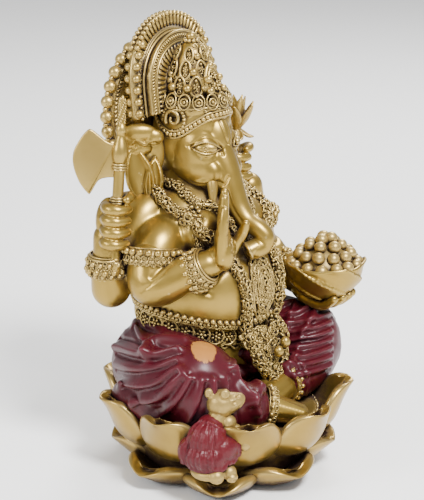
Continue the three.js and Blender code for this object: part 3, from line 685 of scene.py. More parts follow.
headMake = {
    "grain": 0.45, "softening": 16,
    "eggs": [((0, 36, 127), (16.6, 16.2, 24)), ((0, 29, 122), (15.4, 17.5, 20)),
             ((-8, 25, 123), (8.3, 13, 15)),
             ((8, 25, 123), (8.3, 13, 15)), ((-6, 24.5, 136), (7.8, 9.4, 10.5)),
             ((6, 24.5, 136), (7.8, 9.4, 10.5)),
             ((-8, 24.5, 116.5), (8.3, 12.5, 10)), ((8, 24.5, 116.5), (8.3, 12.5, 10)),
             ((0, 20, 109.5), (10, 13, 8)),
             ((-7.8, 15.5, 114.5), (4.8, 6.5, 6.5)), ((7.8, 15.5, 114.5), (4.8, 6.5, 6.5)),
             ((0, 19, 127), (8.4, 9, 14))],
    "trunk": [(0, 24, 131, 9.5), (0, 19.5, 125, 9), (0, 15.2, 119, 8), (0, 12, 114, 7.2), (0, 9.2, 108, 6.6),
              (0, 6.6, 102, 6.1),
              (0, 4, 97, 5.6), (0.2, -0.5, 91.8, 5.1), (1.0, -6.6, 88.6, 4.7), (2.0, -10.4, 84.8, 4.5),
              (1.0, -9.9, 80.6, 4.4),
              (-3, -8.2, 79.4, 4.8)],
    "brow": [(-14, 28, 131.5), (-12.6, 22.5, 134), (-10.4, 17.6, 133.4), (-7.8, 14.2, 130.5),
             (-5.6, 12.2, 126)],
    "eyeCentre": (-10.4, 15.4, 126.4), "eyeOut": (-0.83, -0.55, 0.04), "eyeSize": (7.0, 3.3),
}
head = bmesh.new()
for centre, radii in headMake["eggs"]:
    egg(head, onSeat(*centre), radii, detail=4)
limb(head, headMake["trunk"], detail=3)
for flip in (1, -1):
    limb(head, [(x * flip, y + 1.6, z, 2.2) for x, y, z in headMake["brow"]], steps=5)
    limb(head, [(-12.4 * flip, 24, 110.5, 2.2), (-11.4 * flip, 18, 110, 2.5), (-9.4 * flip, 13.8, 111.5, 2.5),
                (-7.2 * flip, 12, 114.5, 1.9)])
head = fuse(head, headMake["grain"], headMake["softening"])

eyeTree = BVHTree.FromBMesh(head)


def onEye(across, up, flip):        # a spot on the skin of the face, measured in the plane of the eye
    x, y, z = headMake["eyeCentre"]
    out = Vector((headMake["eyeOut"][0] * flip, headMake["eyeOut"][1], headMake["eyeOut"][2])).normalized()
    side = upright.cross(out).normalized() * flip
    start = onSeat(x * flip, y, z) + out * 14 + side * across + Vector((0, 0, up))
    return eyeTree.ray_cast(start, -out)[0] or eyeTree.find_nearest(start)[0]


def almond(spread, flip, upper):
    wide, tall = headMake["eyeSize"]
    points = []
    for t in np.linspace(-1, 1, 7):
        height = tall * spread * (1 - abs(t) ** 1.8) * (1 if upper else -0.72)
        points.append(onEye(t * wide * (0.94 + 0.06 * spread), height - 0.6 * t, flip))
    return points


lines = []
for flip in (1, -1):
    lines.append((almond(1.0, flip, True), 0.62, 0.45))
    for upper in (True, False):        # the hollow round the eyeball
        lines.append((almond(0.78, flip, upper), 0.8, -1.1))
    lines.append((almond(1.7, flip, True), 0.7, -0.6))
    lines.append((almond(2.0, flip, False), 0.8, -0.45))
    lines.append(([onEye(-9.0, 1.4, flip), onEye(-7.0, 1.0, flip), onEye(-5.6, 0.4, flip)], 0.55, -0.55))
    lines.append(([onEye(5.6, -0.6, flip), onEye(7.2, -1.6, flip), onEye(8.0, -3.4, flip)], 0.7, -0.7))
    lines.append(([onSeat(-5.6 * flip, 6.5, 106), onSeat(-5.2 * flip, 3.2, 98), onSeat(-4.2 * flip, -3, 90)],
                  0.8, -0.6))
    cheek = [onSeat(-16 * flip, 22, 108.5), onSeat(-13 * flip, 14, 107.5), onSeat(-9 * flip, 8, 109),
             onSeat(-6.5 * flip, 5, 113)]
    lines.append((cheek, 0.9, -0.9))
    tilak = [onSeat(-2.0 * flip, 14, 141), onSeat(-2.2 * flip, 12.5, 137), onSeat(-1.8 * flip, 10.5, 131),
             onSeat(0, 9.6, 127)]
    lines.append((tilak, 0.45, -0.7))
for k in range(9):        # rings where the trunk bends
    share = k / 8
    z = 96 - 13 * share
    y = 1.0 - 13.5 * share ** 0.8
    lines.append(([onSeat(-5, y + 6.5, z - 5), onSeat(0, y + 7.5, z - 6), onSeat(5, y + 6.5, z - 5)], 0.55,
                  -0.4))
press(head, lines)
ball = bmesh.new()
egg(ball, (0, 0, 0), (1, 1, 1), detail=3)
shapes["eyeBall"] = asShape(ball)
for flip in (1, -1):        # each eye: a smooth ball between two fine lids, with a ringed pupil
    x, y, z = headMake["eyeCentre"]
    out = Vector((headMake["eyeOut"][0] * flip, headMake["eyeOut"][1], headMake["eyeOut"][2])).normalized()
    skin = onEye(0, 0, flip)
    stamp(head, shapes["eyeBall"], facing(skin - out * 1.3, out, size=(5.2, 2.8, 2.3)))
    lids = [p + out * 0.5 for p in almond(1.0, flip, True)]
    tube(head, lids, 0.68, sides=6, taper=lambda t: 0.45 + 0.55 * math.sin(math.pi * t))
    lids = [p + out * 0.35 for p in almond(1.0, flip, False)]
    tube(head, lids, 0.5, sides=6, taper=lambda t: 0.45 + 0.55 * math.sin(math.pi * t))
    pupil = facing(skin + out * 0.85 + Vector((0, 0, 0.1)), out)
    tube(head, [pupil @ Vector((1.25 * math.cos(t), 1.25 * math.sin(t), 0)) for t in wholeTurn(16)],
         0.3, sides=6, closed=True)
    stamp(head, shapes["bead"], facing(skin + out * 0.85, out, size=(0.6, 0.6, 0.5)))
trunkTip = Vector(onSeat(-6.6, -6.2, 79.2))
tipOut = Vector((-0.80, 0.45, -0.35)).normalized()
mouthRing = []
for t in wholeTurn(16):        # flared open end of the trunk
    frameAt = facing(trunkTip, tipOut)
    mouthRing.append(frameAt @ Vector((4.5 * math.cos(t), 3.9 * math.sin(t), 0)))
tube(head, mouthRing, 0.85, sides=8, closed=True)
bmesh.ops.create_cone(head, cap_ends=False, segments=20, radius1=4.2, radius2=4.5, depth=5.0,
                      matrix=facing(trunkTip - tipOut * 2.4, tipOut, size=(1, 0.87, 1)))
cup = bmesh.ops.create_cone(head, cap_ends=True, segments=20, radius1=1.2, radius2=4.2, depth=4.2,
                            matrix=facing(trunkTip - tipOut * 1.9, tipOut, size=(1, 0.87, 1)))
lid = [f for f in head.faces if len(f.verts) == 20 and f.normal.dot(tipOut) > 0.9]
bmesh.ops.reverse_faces(head, faces=[f for f in {f for v in cup["verts"] for f in v.link_faces}
                                     if f not in lid])
bmesh.ops.delete(head, geom=lid, context="FACES")
finishGold("headAndTrunk", head, "head")

tuskMake = {"right": [(-8.4, 14.5, 113, 2.5), (-9.2, 12.8, 109, 2.7), (-10.2, 11.6, 105, 2.2),
                      (-11.4, 10.8, 100.6, 1.4)], "grain": 0.3}
for side, flip in (("right", 1), ("left", -1)):
    tusk = bmesh.new()
    limb(tusk, [(x * flip, y, z, r) for x, y, z, r in tuskMake["right"]])
    tusk = fuse(tusk, tuskMake["grain"], 3)
    finish(side + "Tusk", tusk, finishes["paleGold"], "pale_gold", side + "_tusk")

# each ear: a thick scalloped fold at the top, then two hanging leaf-shaped lobes with rolled rims
earMake = {
    "root": (-19.2, 35.6, 0), "across": (-0.72, 0.69, 0), "out": (-0.69, -0.72, 0), "grain": 0.34,
    "softening": 3,
    "lumps": [((10.5, 0.8, 133), (8.6, 3.4, 4.6)), ((3.5, 1.0, 130.8), (4.8, 3.0, 4.0)),
              ((15.4, -0.4, 130), (3.6, 2.6, 4.8)),
              ((11.2, 0.2, 125.2), (6.8, 2.6, 3.6)), ((5, -2, 122), (7, 2.0, 12))],
    "lobes": [        # root, tip, width and hollow of each hanging leaf
        ((13.4, -0.6, 126.5), (8.2, 2.4, 98.8), 14.5, 2.6), ((3.0, 0.4, 121.5), (5.8, 3.4, 98.6), 10.0, 2.2)],
    "rims": [        # across, out, height and radius along each rolled rim
        [(1.0, 1.8, 128.4, 1.2), (4.5, 2.8, 129.8, 1.3), (8.0, 3.0, 127.8, 1.3), (11.5, 2.6, 129.4, 1.3),
         (15.5, 1.2, 127.6, 1.2),
         (17.6, 0.0, 123, 1.0)]],
    "lines": [([(3, 5, 127), (8, 5, 126), (12, 5, 127.2), (16, 5, 125)], 0.8, -0.9)],
}


def earPlace(flip):
    root, across, out = (Vector(earMake[k]) for k in ("root", "across", "out"))

    def onEar(a, o, z):
        spot = root + across * a + out * o
        return onSeat(spot.x * flip, spot.y, z)
    return onEar


for side, flip in (("right", 1), ("left", -1)):
    onEar = earPlace(flip)
    ear = bmesh.new()
    for (a, o, z), radii in earMake["lumps"]:
        egg(ear, onEar(a, o, z), radii, turn=(0, 0, -0.77 * flip))
    for root, tip, width, hollow in earMake["lobes"]:
        face = Vector((earMake["out"][0] * flip, earMake["out"][1], 0.12))
        leaf(ear, onEar(*root), onEar(*tip), width, face, cup=hollow, thick=1.9, bend=1.2, rim=0.9,
             swell=1.15, blunt=0.62,
             across=12, along=14)
    for rim in earMake["rims"]:
        limb(ear, rim, steps=8, detail=1, place=onEar)
    ear = fuse(ear, earMake["grain"], earMake["softening"])
    press(ear, [([onEar(*p) for p in points], width, height) for points, width, height in earMake["lines"]])
    finishGold(side + "Ear", ear, side + "_ear")
print("head done")

# the dhoti: both folded legs and the wrap round the hips in one lump, with soft folds of cloth raised on it
dhotiMake = {
    "grain": 0.68, "softening": 6,
    "eggs": [((0, 30, 19), (41, 34, 20)), ((-43, -5, 22.5), (19.5, 19.5, 20.5)),
             ((41, -5, 21), (19.5, 19.5, 20)),
             ((0, 34, 12), (44, 30, 12)), ((-48, 18, 10), (12, 24, 11)), ((48, 18, 10), (12, 24, 11))],
    "legs": [[(-26, 34, 20, 22), (-38, 14, 21.5, 21.5), (-43, -5, 22.5, 20)],
             [(-43, -8, 18, 17), (-38.5, -15.5, 15, 14.5), (-33, -20.5, 12.5, 12), (-28, -24, 11, 9.6)],
             [(26, 34, 20, 22), (37, 14, 21, 21.5), (41.5, -5, 21, 19.5)],
             [(42, -8, 18, 17), (32, -14, 14.5, 14), (20, -16.5, 11.5, 11.5), (14, -17, 11, 9.8)]],
}
dhoti = bmesh.new()
for centre, radii in dhotiMake["eggs"]:
    egg(dhoti, onSeat(*centre), radii, detail=4)
for stations in dhotiMake["legs"]:
    limb(dhoti, stations, detail=3)
dhoti = fuse(dhoti, dhotiMake["grain"], dhotiMake["softening"])
cutBelow(dhoti, onSeat(0, 0, 0.3), 0.001)
folds = []
broad = []


def addFold(points, width, height, crease=True):
    route = [onSeat(*p) for p in points]
    broad.append((route, width, height))
    if crease:        # the sharp valley beside a rounded ridge
        folds.append(([p + Vector((0, 0, -width * 0.9)) for p in route], width * 0.36, -height * 0.62))


dhotiTree = BVHTree.FromBMesh(dhoti)
kneeSight = Vector((-0.753, -0.589, 0.292)).normalized()        # the way the right knee faces
kneeSide = upright.cross(kneeSight).normalized()
kneeUp = kneeSight.cross(kneeSide)


def kneeSpot(u, v):        # a spot on the cloth, counted sideways and upwards from the worn patch
    start = onSeat(-43, -10, 41) + kneeSide * u + kneeUp * v + kneeSight * 90
    return dhotiTree.ray_cast(start, -kneeSight)[0] or dhotiTree.find_nearest(start - kneeSight * 80)[0]


kneeFolds = [        # folds that spread from the knee like the ribs of a fan
    [(-7, 7), (-20, 8.5), (-34, 11), (-43, 12)], [(-10, 3.5), (-24, 3.5), (-42, 6)],
    [(-12, -0.5), (-27, -3.5), (-43, -1)],
    [(-13, -4.5), (-27, -9.5), (-43, -9)], [(-12, -8.5), (-24, -16), (-40, -18)],
    [(-10, -11), (-20, -21.5), (-34, -26)],
    [(-7, -13), (-14, -24), (-23, -33)], [(-2, -14), (-5, -25), (-10, -36)], [(3, -14), (3, -25), (2, -36)],
    [(8, -13), (11, -23), (13, -34)], [(13, -10), (18, -19), (23, -29)], [(16, -4), (22, -12), (28, -22)]]
for k, points in enumerate(kneeFolds):
    route = [kneeSpot(*p) for p in points]
    width, height = 2.2 + 0.7 * (k % 2), 2.1 + 0.6 * (k % 3)
    broad.append((route, width, height))
    route = [kneeSpot(u + 1.3 * (v < -9), v - 2.4 + 1.2 * (v < -9)) for u, v in points]
    folds.append((route, 0.85, -1.5))
for k in range(9):        # left leg: flat wraps one above another
    v = 19 - 4.1 * k
    route = [kneeSpot(33 + 1.5 * math.sin(k), v - 2.5), kneeSpot(44, v - 0.6), kneeSpot(54, v + 1.2),
             kneeSpot(61, v + 3.5)]
    broad.append((route, 1.7, 1.7))
    folds.append(([spot - Vector((0, 0, 2.0)) for spot in route], 0.65, -1.1))
    z = 39 - 4.4 * k
    addFold([(58.5, -14, z), (61, 4, z + 1), (56, 24, z + 1), (48, 42, z)], 1.7, 1.2)
for k in range(4):        # right hem, gathered in rings at the ankle
    share = k / 3
    x, y = -26 + 4.6 * share, -24.5 - 2.6 * share
    reach = 9.8 - 0.7 * k
    addFold([(x - 0.7 * reach * math.cos(t), y - 0.7 * reach * math.cos(t), 10.5 + reach * math.sin(t))
             for t in np.linspace(-0.6, 2.2, 7)],
            1.1, 1.3, crease=False)
for k in range(3):        # left pleat, a flat band of cloth that hangs down beside the ankle
    x = 6 + 3.8 * k
    addFold([(x, -14, 21), (x + 0.5, -24, 19), (x + 1.5, -27, 11), (x + 2.5, -27, 3)], 1.3, 1.3, crease=False)
for k in range(11):
    x = -30 + 6 * k
    addFold([(x * 0.9, 60, 36), (x + 2 * math.sin(3 * k), 66, 18), (x * 1.1, 66, 2)], 1.9, 1.5, crease=False)
press(dhoti, broad)
press(dhoti, folds)
for _ in range(2):
    soften(dhoti, 0.4)
finish("dhoti", dhoti, finishes["cloth"], "burgundy_cloth", "right_leg", "left_leg", "dhoti_hips")

footMake = {"grain": 0.38, "softening": 4, "toeRadii": (2.9, 2.3, 2.2, 2.0, 1.8)}
feet = {        # ankle, middle of the foot and toes, and the side to which the sole turns
    "right": ((-19, -28, 9.5), (-14, -33.5, 7.5), (-8.5, -38.5, 5.5), (0.15, 0.3, 1)),
    "left": ((9, -17.5, 11), (0, -19, 10.5), (-7.5, -20, 10.5), (-0.1, -0.6, 0.8)),
}
for side, (ankle, arch, ball, up) in feet.items():
    ankle, arch, ball = Vector(ankle), Vector(arch), Vector(ball)
    along = (ball - ankle).normalized()
    upward = Vector(up).normalized()
    across = along.cross(upward).normalized()
    foot = bmesh.new()
    limb(foot, [(*ankle, 7.0), (*arch, 6.2), (*ball, 5.0)], detail=3)
    limb(foot, [(*(ankle + across * 2), 6.5), (*(ball + across * 4.4), 3.4)])
    limb(foot, [(*(ankle - across * 2), 6.5), (*(ball - across * 4.4), 3.6)])
    for k, radius in enumerate(footMake["toeRadii"]):
        start = ball + across * (-5.2 + 2.7 * k) - upward * 1.2
        end = start + along * (6.6 - 0.9 * k) - upward * 0.6
        limb(foot, [(*start, radius), (*((start + end) / 2 + upward * 0.9), radius * 0.92),
                    (*end, radius * 0.95)], steps=6)
    foot = fuse(foot, footMake["grain"], footMake["softening"])
    finishGold(side + "Foot", foot, side + "_foot")
print("dhoti and feet done")

# ornaments are laid on the finished skins, with their outward direction taken from the skin below
def laidOn(tree, spot, out, above=0.0):
    out = Vector(out).normalized()
    found = tree.ray_cast(Vector(spot) + out * 80, -out)
    place = found[0] or Vector(spot)
    return place + out * above


def directions(route):        # the way along at each spot
    ends = [route[0]] + list(route) + [route[-1]]
    return [(after - before).normalized() for before, after in zip(ends, ends[2:])]


# openwork rope of curls, rings and seeds
def tangled(bm, route, radius, gap, around, curl=1.7, core=0.5):
    spots = spaced(route, gap)
    ways = directions(spots)
    tube(bm, spots, radius * core, sides=7)
    for i, (spot, along) in enumerate(zip(spots, ways)):
        sideways = along.cross(Vector((0.2, 0.3, 1))).normalized()
        for k in range(around):
            angle = fullTurn * (k + 0.5 * (i % 2)) / around + chance.uniform(-0.25, 0.25)
            out = Matrix.Rotation(angle, 3, along) @ sideways
            shape = chance.choice(("scroll", "ring", "scroll", "seed", "ring", "seed"))
            size = curl * chance.uniform(0.75, 1.1) * (0.55 if shape == "seed" else 1)
            lift = radius * chance.uniform(0.62, 0.86)
            tilt = (out + along * chance.uniform(-0.5, 0.5) + out.cross(along) * chance.uniform(-0.5, 0.5))
            stamp(bm, shapes[shape], facing(spot + out * lift, tilt, up=along, size=size,
                                            roll=chance.uniform(0, 6.3)))


def beadRow(bm, route, radius, gap, shape="bead", closed=False):
    spots = spaced(route, gap)
    for spot in spots[:-1] if closed else spots:
        stamp(bm, shapes[shape], Matrix.Translation(spot) @ Matrix.Scale(radius, 4))


def strip(bm, route, ups, outs, width, thick):        # a band that follows a closed or open route
    band = bmesh.new()
    rows = []
    for spot, up, out in zip(route, ups, outs):
        row = [band.verts.new(spot + Vector(up) * (width * s / 2)
                              + Vector(out) * (0.5 * thick * (1 - abs(s))))
               for s in (-1, -0.5, 0, 0.5, 1)]
        rows.append([band.edges.new(pair) for pair in zip(row, row[1:])])
    for a, b in zip(rows, rows[1:]):
        bmesh.ops.bridge_loops(band, edges=a + b)
    bmesh.ops.recalc_face_normals(band, faces=band.faces)
    bmesh.ops.solidify(band, geom=band.faces, thickness=thick)
    mesh = asShape(band)
    bm.from_mesh(mesh)
    bpy.data.meshes.remove(mesh)


# the belt: circles with a star in each, small filling between them, beads above and a waved ribbon below
beltMake = {"steps": 30, "height": 44.5, "drop": 8.5, "circle": 4.1, "star": 2.7, "bead": 1.35,
            "beadGap": 3.5, "axis": (0, 25)}


def waistSpot(angle, lift=0.0, above=0.0):
    forward = max(-math.sin(angle), 0)
    z = beltMake["height"] - beltMake["drop"] * forward ** 1.5 + lift
    x, y = beltMake["axis"]
    out = level(angle)
    return laidOn(coreTree, onSeat(x, y, z), out, above), out


def waistRoute(lift, above, count=96):
    spots = [waistSpot(fullTurn * i / count, lift, above) for i in range(count + 1)]
    return [s for s, _ in spots], [o for _, o in spots]


belt = bmesh.new()
route, outs = waistRoute(-0.5, 0.4)
strip(belt, route, [(0, 0, 1)] * len(route), outs, 10.5, 1.3)
for lift, radius, above in ((4.9, 0.5, 1.2), (-4.6, 0.55, 1.4)):
    tube(belt, waistRoute(lift, above)[0][:-1], radius, sides=6, closed=True)
wave = [waistSpot(fullTurn * i / 240, -5.6 + 0.9 * math.sin(beltMake["steps"] * fullTurn * i / 240), 1.6)[0]
        for i in range(240)]
tube(belt, wave, 0.6, sides=5, closed=True)
for i in range(beltMake["steps"]):
    angle = fullTurn * i / beltMake["steps"]
    spot, out = waistSpot(angle, 0.1, 1.5)
    stamp(belt, shapes["fineRing"], facing(spot, out, size=beltMake["circle"], roll=angle))
    stamp(belt, shapes["star"], facing(spot + out * 0.1, out, size=beltMake["star"], roll=3 * angle))
    for k in range(6):
        turn = math.pi / 3 * k
        side = out.cross(upright) * math.cos(turn) + upright * math.sin(turn)
        stamp(belt, shapes["seed"], facing(spot + side * 3.25, out, size=0.5))
    gapSpot, gapOut = waistSpot(angle + math.pi / beltMake["steps"], 0, 1.6)
    for dz in (-3.4, 3.4, 0):
        stamp(belt, shapes["scroll"], facing(gapSpot + Vector((0, 0, dz)), gapOut, size=1.35,
                                             roll=chance.uniform(0, 6)))
        stamp(belt, shapes["seed"], facing(gapSpot + Vector((0, 0, dz * 0.55)), gapOut, size=0.6))
finishGold("waistBelt", belt, "waist_belt")

chain = bmesh.new()
for lift, radius, gap, above, shape in ((8.2, beltMake["bead"], beltMake["beadGap"], 1.2, "pearl"),
                                        (6.2, 0.8, 1.9, 1.4, "seed")):
    beadRow(chain, waistRoute(lift, above)[0], radius, gap, shape=shape, closed=True)
tube(chain, waistRoute(7.2, 0.6)[0][:-1], 0.6, sides=5, closed=True)
for i in range(64):
    spot, out = waistSpot(fullTurn * (i + 0.5) / 64, 5.9 + chance.uniform(-0.5, 0.5), 1.5)
    stamp(chain, shapes[chance.choice(("scroll", "ring"))],
          facing(spot, out, size=1.25, roll=chance.uniform(0, 6)))
finishGold("beadChain", chain, "belly_chain")

# the long garland round the neck, which hangs in a loop over the lap
garlandMake = {
    "radius": 2.9, "gap": 1.9, "around": 6, "lap": 38,
    "route": [(-4, 52, 104), (-19, 42, 106), (-27, 28, 102), (-22, 12.5, 92), (-15, -4.5, 75),
              (-12.5, -11.5, 57), (-11, -12, 39),
              (-7, -16, 23), (2, -18, 15), (10, -16, 22), (14, -12, 39), (14, -11.5, 57), (16, -4.5, 75),
              (22, 12.5, 92),
              (27, 28, 102), (19, 42, 106), (4, 52, 104), (-4, 52, 104)],
}
garland = bmesh.new()
hang = []
for spot in smoothRoute(garlandMake["route"], 6):
    place = onSeat(*spot)
    if spot[2] > garlandMake["lap"]:        # above the lap it lies on the body
        near, normal = bodyTree.find_nearest(place)[:2]
        place = near + normal * (garlandMake["radius"] * 0.75)
    hang.append(place)
tangled(garland, hang, garlandMake["radius"], garlandMake["gap"], garlandMake["around"])
finishGold("garland", garland, "garland")

necklaceMake = {"centre": (0, 22, 97), "radii": (15, 17), "radius": 2.2, "steps": 60}


def neckSpot(angle, lower, above):
    x, y, z = necklaceMake["centre"]
    a, b = necklaceMake["radii"]
    side, depth = a * math.cos(angle), b * math.sin(angle)
    forward = max(-math.sin(angle), 0)
    spot = onSeat(x + side * (1 + 0.016 * lower * forward), y + depth * (1 + 0.016 * lower * forward),
                  z + depth * 0.55 - lower - 2 * forward)
    near, normal = bodyTree.find_nearest(spot)[:2]
    return near + normal * above


necklace = bmesh.new()
for lower, radius in ((0, 2.4), (7.5, 1.9)):
    loop = [neckSpot(fullTurn * i / necklaceMake["steps"], lower, radius * 0.7)
            for i in range(necklaceMake["steps"] + 1)]
    if lower:
        loop = loop[necklaceMake["steps"] // 2 - 2:]
    tangled(necklace, loop, radius, 1.7, 6, curl=1.35)
beadRow(necklace, [neckSpot(math.pi * (1 + i / 30), 4.2, 1.0) for i in range(31)], 1.25, 2.9, shape="pearl")
finishGold("necklace", necklace, "neck_beads")

# the worked panel between the two strands, and the filigree apron with its hanging ball
panelMake = {"top": 78, "bottom": 46, "half": 8.5, "balls": ((2, -15.6, 33), (8, -15, 36))}
panel = bmesh.new()


def panelSpot(x, z, above):
    spot = onSeat(x + 1, -20, z)
    return laidOn(bodyTree, spot, (0, -1, 0.12), above)


for k in range(4):
    half = panelMake["half"] * (1 - 0.22 * k)
    outline = [panelSpot(half * math.cos(t), (panelMake["top"] + panelMake["bottom"]) / 2
                         + (17 - 4 * k) * math.sin(t), 1.0)
               for t in wholeTurn(32)]
    tube(panel, outline, 0.62, sides=5, closed=True)
for i in range(190):
    x, z = chance.uniform(-1, 1), chance.uniform(-1, 1)
    if x * x + z * z > 1:
        continue
    spot = panelSpot(x * panelMake["half"], (panelMake["top"] + panelMake["bottom"]) / 2 + z * 16.5,
                     chance.uniform(0.6, 1.6))
    kind = chance.choice(("floret", "scroll", "ring", "seed"))
    stamp(panel, shapes[kind], facing(spot, (0, -1, 0.1), size=1.5 if kind != "seed"
                                      else 0.8, roll=chance.uniform(0, 6)))
for i in range(330):        # apron of tangled wire below the belt
    x = chance.uniform(-17, 16)
    z = chance.uniform(20, 40)
    if abs(x) > 16 - 0.55 * (40 - z):
        continue
    spot = onSeat(x, -11.4 - 0.25 * (40 - z) + 0.012 * x * x + chance.uniform(-0.8, 0.8), z)
    kind = chance.choice(("scroll", "ring", "scroll", "seed"))
    size = chance.uniform(1.2, 2.0) if kind != "seed" else 0.8
    tilt = (chance.uniform(-0.6, 0.6), -1, chance.uniform(-0.3, 0.7))
    stamp(panel, shapes[kind], facing(spot, tilt, size=size, roll=chance.uniform(0, 6.3)))
for x, y, z in panelMake["balls"]:
    egg(panel, onSeat(x, y - 3.5, z - 4), (2.4, 2.4, 2.9), detail=3)
finishGold("chestPanel", panel, "chest_pendant")
print("belt, garland and necklace done")

# cuffs: rows of beads and florets round a limb, with a smooth ring at one end
cuffMakes = {        # middle, way along the limb, inner radii, length, and how the rows are made
    "right_armlet": ((-39.5, 25.2, 78.5), (-0.22, -0.1, -1), 11.4, 7.5, "armlet"),
    "left_armlet": ((39.8, 26.6, 79.5), (0.2, 0.02, -1), 11.4, 7.5, "armlet"),
    "right_front_bracelet": ((-32.2, 3.6, 73.8), (0.25, -0.78, 0.55), 7.6, 10.5, "bracelet"),
    "left_front_bracelet": ((46, 12.5, 54), (0.0, -0.9, -0.42), 8.0, 9.5, "bracelet"),
    "right_rear_bracelet": ((-49.7, 43.6, 73.5), (-0.03, -0.02, 1), 8.0, 9, "bracelet"),
    "left_rear_bracelet": ((50.6, 36.4, 78), (-0.1, -0.4, 0.95), 8.2, 9, "bracelet"),
    "right_anklet": ((-18.5, -28.6, 9.4), (0.72, -0.66, -0.2), 8.2, 4.0, "anklet"),
    "left_anklet": ((8.6, -17.4, 10.6), (-0.98, -0.16, 0.0), 8.4, 4.0, "anklet"),
}


def makeCuff(centre, along, radius, length, style):
    bm = bmesh.new()
    base = facing(onSeat(*centre), along)
    turn = base.to_3x3()

    def onCuff(angle, up, above):
        return base @ Vector(((radius + above) * math.cos(angle), (radius + above) * math.sin(angle), up))

    def ringRow(count, up, above, shape, size):
        for i in range(count):
            angle = fullTurn * (i + 0.5 * (round(up * 2) % 2)) / count
            out = turn @ level(angle)
            place = facing(onCuff(angle, up, above), out, up=along, size=size, roll=chance.uniform(0, 6))
            stamp(bm, shapes[shape], place)

    def hoopRow(up, above, wire):
        tube(bm, [onCuff(fullTurn * i / 40, up, above) for i in range(40)], wire, sides=6, closed=True)

    half = length / 2
    profile = bmesh.new()
    outline = [(radius + x, z) for x, z in ((-1.2, -half), (0.9, -half), (1.5, 0), (0.9, half), (-1.2, half))]
    lathe(profile, outline + outline[:1], 36, weld=1e-4)
    sleeve = asShape(profile)
    stamp(bm, sleeve, base)
    if style == "armlet":
        ringRow(20, -half + 1.4, 2.0, "pearl", 1.7)
        ringRow(26, 0.6, 1.7, "ring", 1.25)
        ringRow(30, 1.9, 1.6, "seed", 0.95)
        ringRow(26, half - 0.6, 1.3, "scroll", 1.2)
        hoopRow(-half - 0.4, 0.8, 0.45)
    elif style == "bracelet":
        for k, (shape, size) in enumerate((("bead", 1.25), ("pearl", 1.55), ("floret", 1.75),
                                           ("bead", 1.35))):
            up = -half + 1.3 + k * (length - 3.2) / 3.2
            ringRow(15 - k % 2, up, 1.9 - 0.25 * abs(k - 1.5), shape, size)
            ringRow(15 - k % 2, up + 1.15, 1.7, "ring", 0.95)
        ringRow(22, -half + 0.2, 1.1, "scroll", 1.2)
        hoopRow(half - 0.2, 0.9, 0.65)
        hoopRow(half + 0.9, 0.2, 0.5)
    else:
        ringRow(18, -0.8, 1.5, "bead", 1.2)
        ringRow(20, 1.1, 1.3, "ring", 1.1)
        hoopRow(half, 0.8, 0.45)
        hoopRow(-half, 0.8, 0.45)
    return bm


for node, (centre, along, radius, length, style) in cuffMakes.items():
    words = node.split("_")
    cuff = makeCuff(centre, along, radius, length, style)
    finishGold(words[0] + "".join(w.title() for w in words[1:]), cuff, node)
print("cuffs done")

# the crown: a banded cap under tiers of beads and pointed frames
crownMake = {
    "middle": (0, 31.5), "radii": (14.4, 15.9), "florets": 16, "base": 141, "capSquash": (0.82, 0.88, 1),
    "profile": [(0, 8), (13.2, 6), (12.8, 13), (11.2, 19), (8.2, 26), (4.6, 31.6), (0, 34.5)],
}


def bandSpot(angle, z, above=0.0):        # on the oval of the crown, where z counts up from the band
    x, y = crownMake["middle"]
    a, b = crownMake["radii"]
    spot = onSeat(x + (a + above) * math.cos(angle), y + (b + above) * math.sin(angle), crownMake["base"] + z)
    out = Vector((math.cos(angle) / a, math.sin(angle) / b, 0)).normalized()
    return spot, out


def bandDip(angle):        # the band hangs lower at the ears than over the forehead
    return -10 * abs(math.cos(angle)) ** 3.5


band = bmesh.new()
angles = np.linspace(0, fullTurn, 97)
for low, dip in ((3.0, 0.0), (0.6, 0.6)):        # a plain strip above, and one that follows the rope below
    route = [bandSpot(a, low + bandDip(a) * dip, 1.0)[0] for a in angles]
    strip(band, route, [(0, 0, 1)] * len(route), [bandSpot(a, 0)[1] for a in angles], 8, 1.8)
for lift, radius, dip in ((-0.9, 0.6, 1.0), (2.4, 0.5, 1.0), (4.6, 0.5, 0.15)):
    tube(band, [bandSpot(a, lift + bandDip(a) * dip, 2.3)[0] for a in angles[:-1]], radius, sides=6,
         closed=True)
beadRow(band, [bandSpot(a, 0.8 + bandDip(a), 2.4)[0] for a in angles], 1.25, 2.3, shape="bead", closed=True)
for i in range(crownMake["florets"]):
    angle = fullTurn * i / crownMake["florets"] - math.pi / 2
    spot, out = bandSpot(angle, 7.0, 2.2)
    lean = out + Vector((0, 0, 0.35))
    stamp(band, shapes["fineRing"], facing(spot, lean, size=(2.9, 3.7, 2.6)))
    stamp(band, shapes["ring"], facing(spot + out * 0.3, lean, size=1.7))
    stamp(band, shapes["bead"], facing(spot + out * 0.4, lean, size=0.85))
    spot, out = bandSpot(angle + math.pi / crownMake["florets"], 3.6, 1.7)
    stamp(band, shapes["scroll"], facing(spot, lean, size=1.5, roll=angle))
for flip in (1, -1):        # a scroll before each ear, edged with beads
    angle = -math.pi / 2 - flip * 1.5
    spot, out = bandSpot(angle, -1.5, 1.6)
    side = upright.cross(out).normalized()
    curl = []
    for t in np.linspace(0, 1, 26):
        reach = 4.9 * (1 - 0.8 * t)
        turn = flip * (-2.2 + 7.6 * t)
        curl.append(spot + side * (reach * math.sin(turn)) + Vector((0, 0, reach * math.cos(turn)))
                    + out * (0.4 + 0.9 * t))
    tube(band, curl, 1.15, sides=8, taper=lambda t: 1 - 0.45 * t)
    edging = []
    for t in np.linspace(-0.6, 4.4, 22):
        edging.append(spot + side * (6.1 * math.sin(flip * (t - 1.1)))
                      + Vector((0, 0, 6.1 * math.cos(t - 1.1))) + out * 0.2)
    beadRow(band, edging, 0.95, 1.8, shape="bead")
finishGold("crownBand", band, "crown_band")

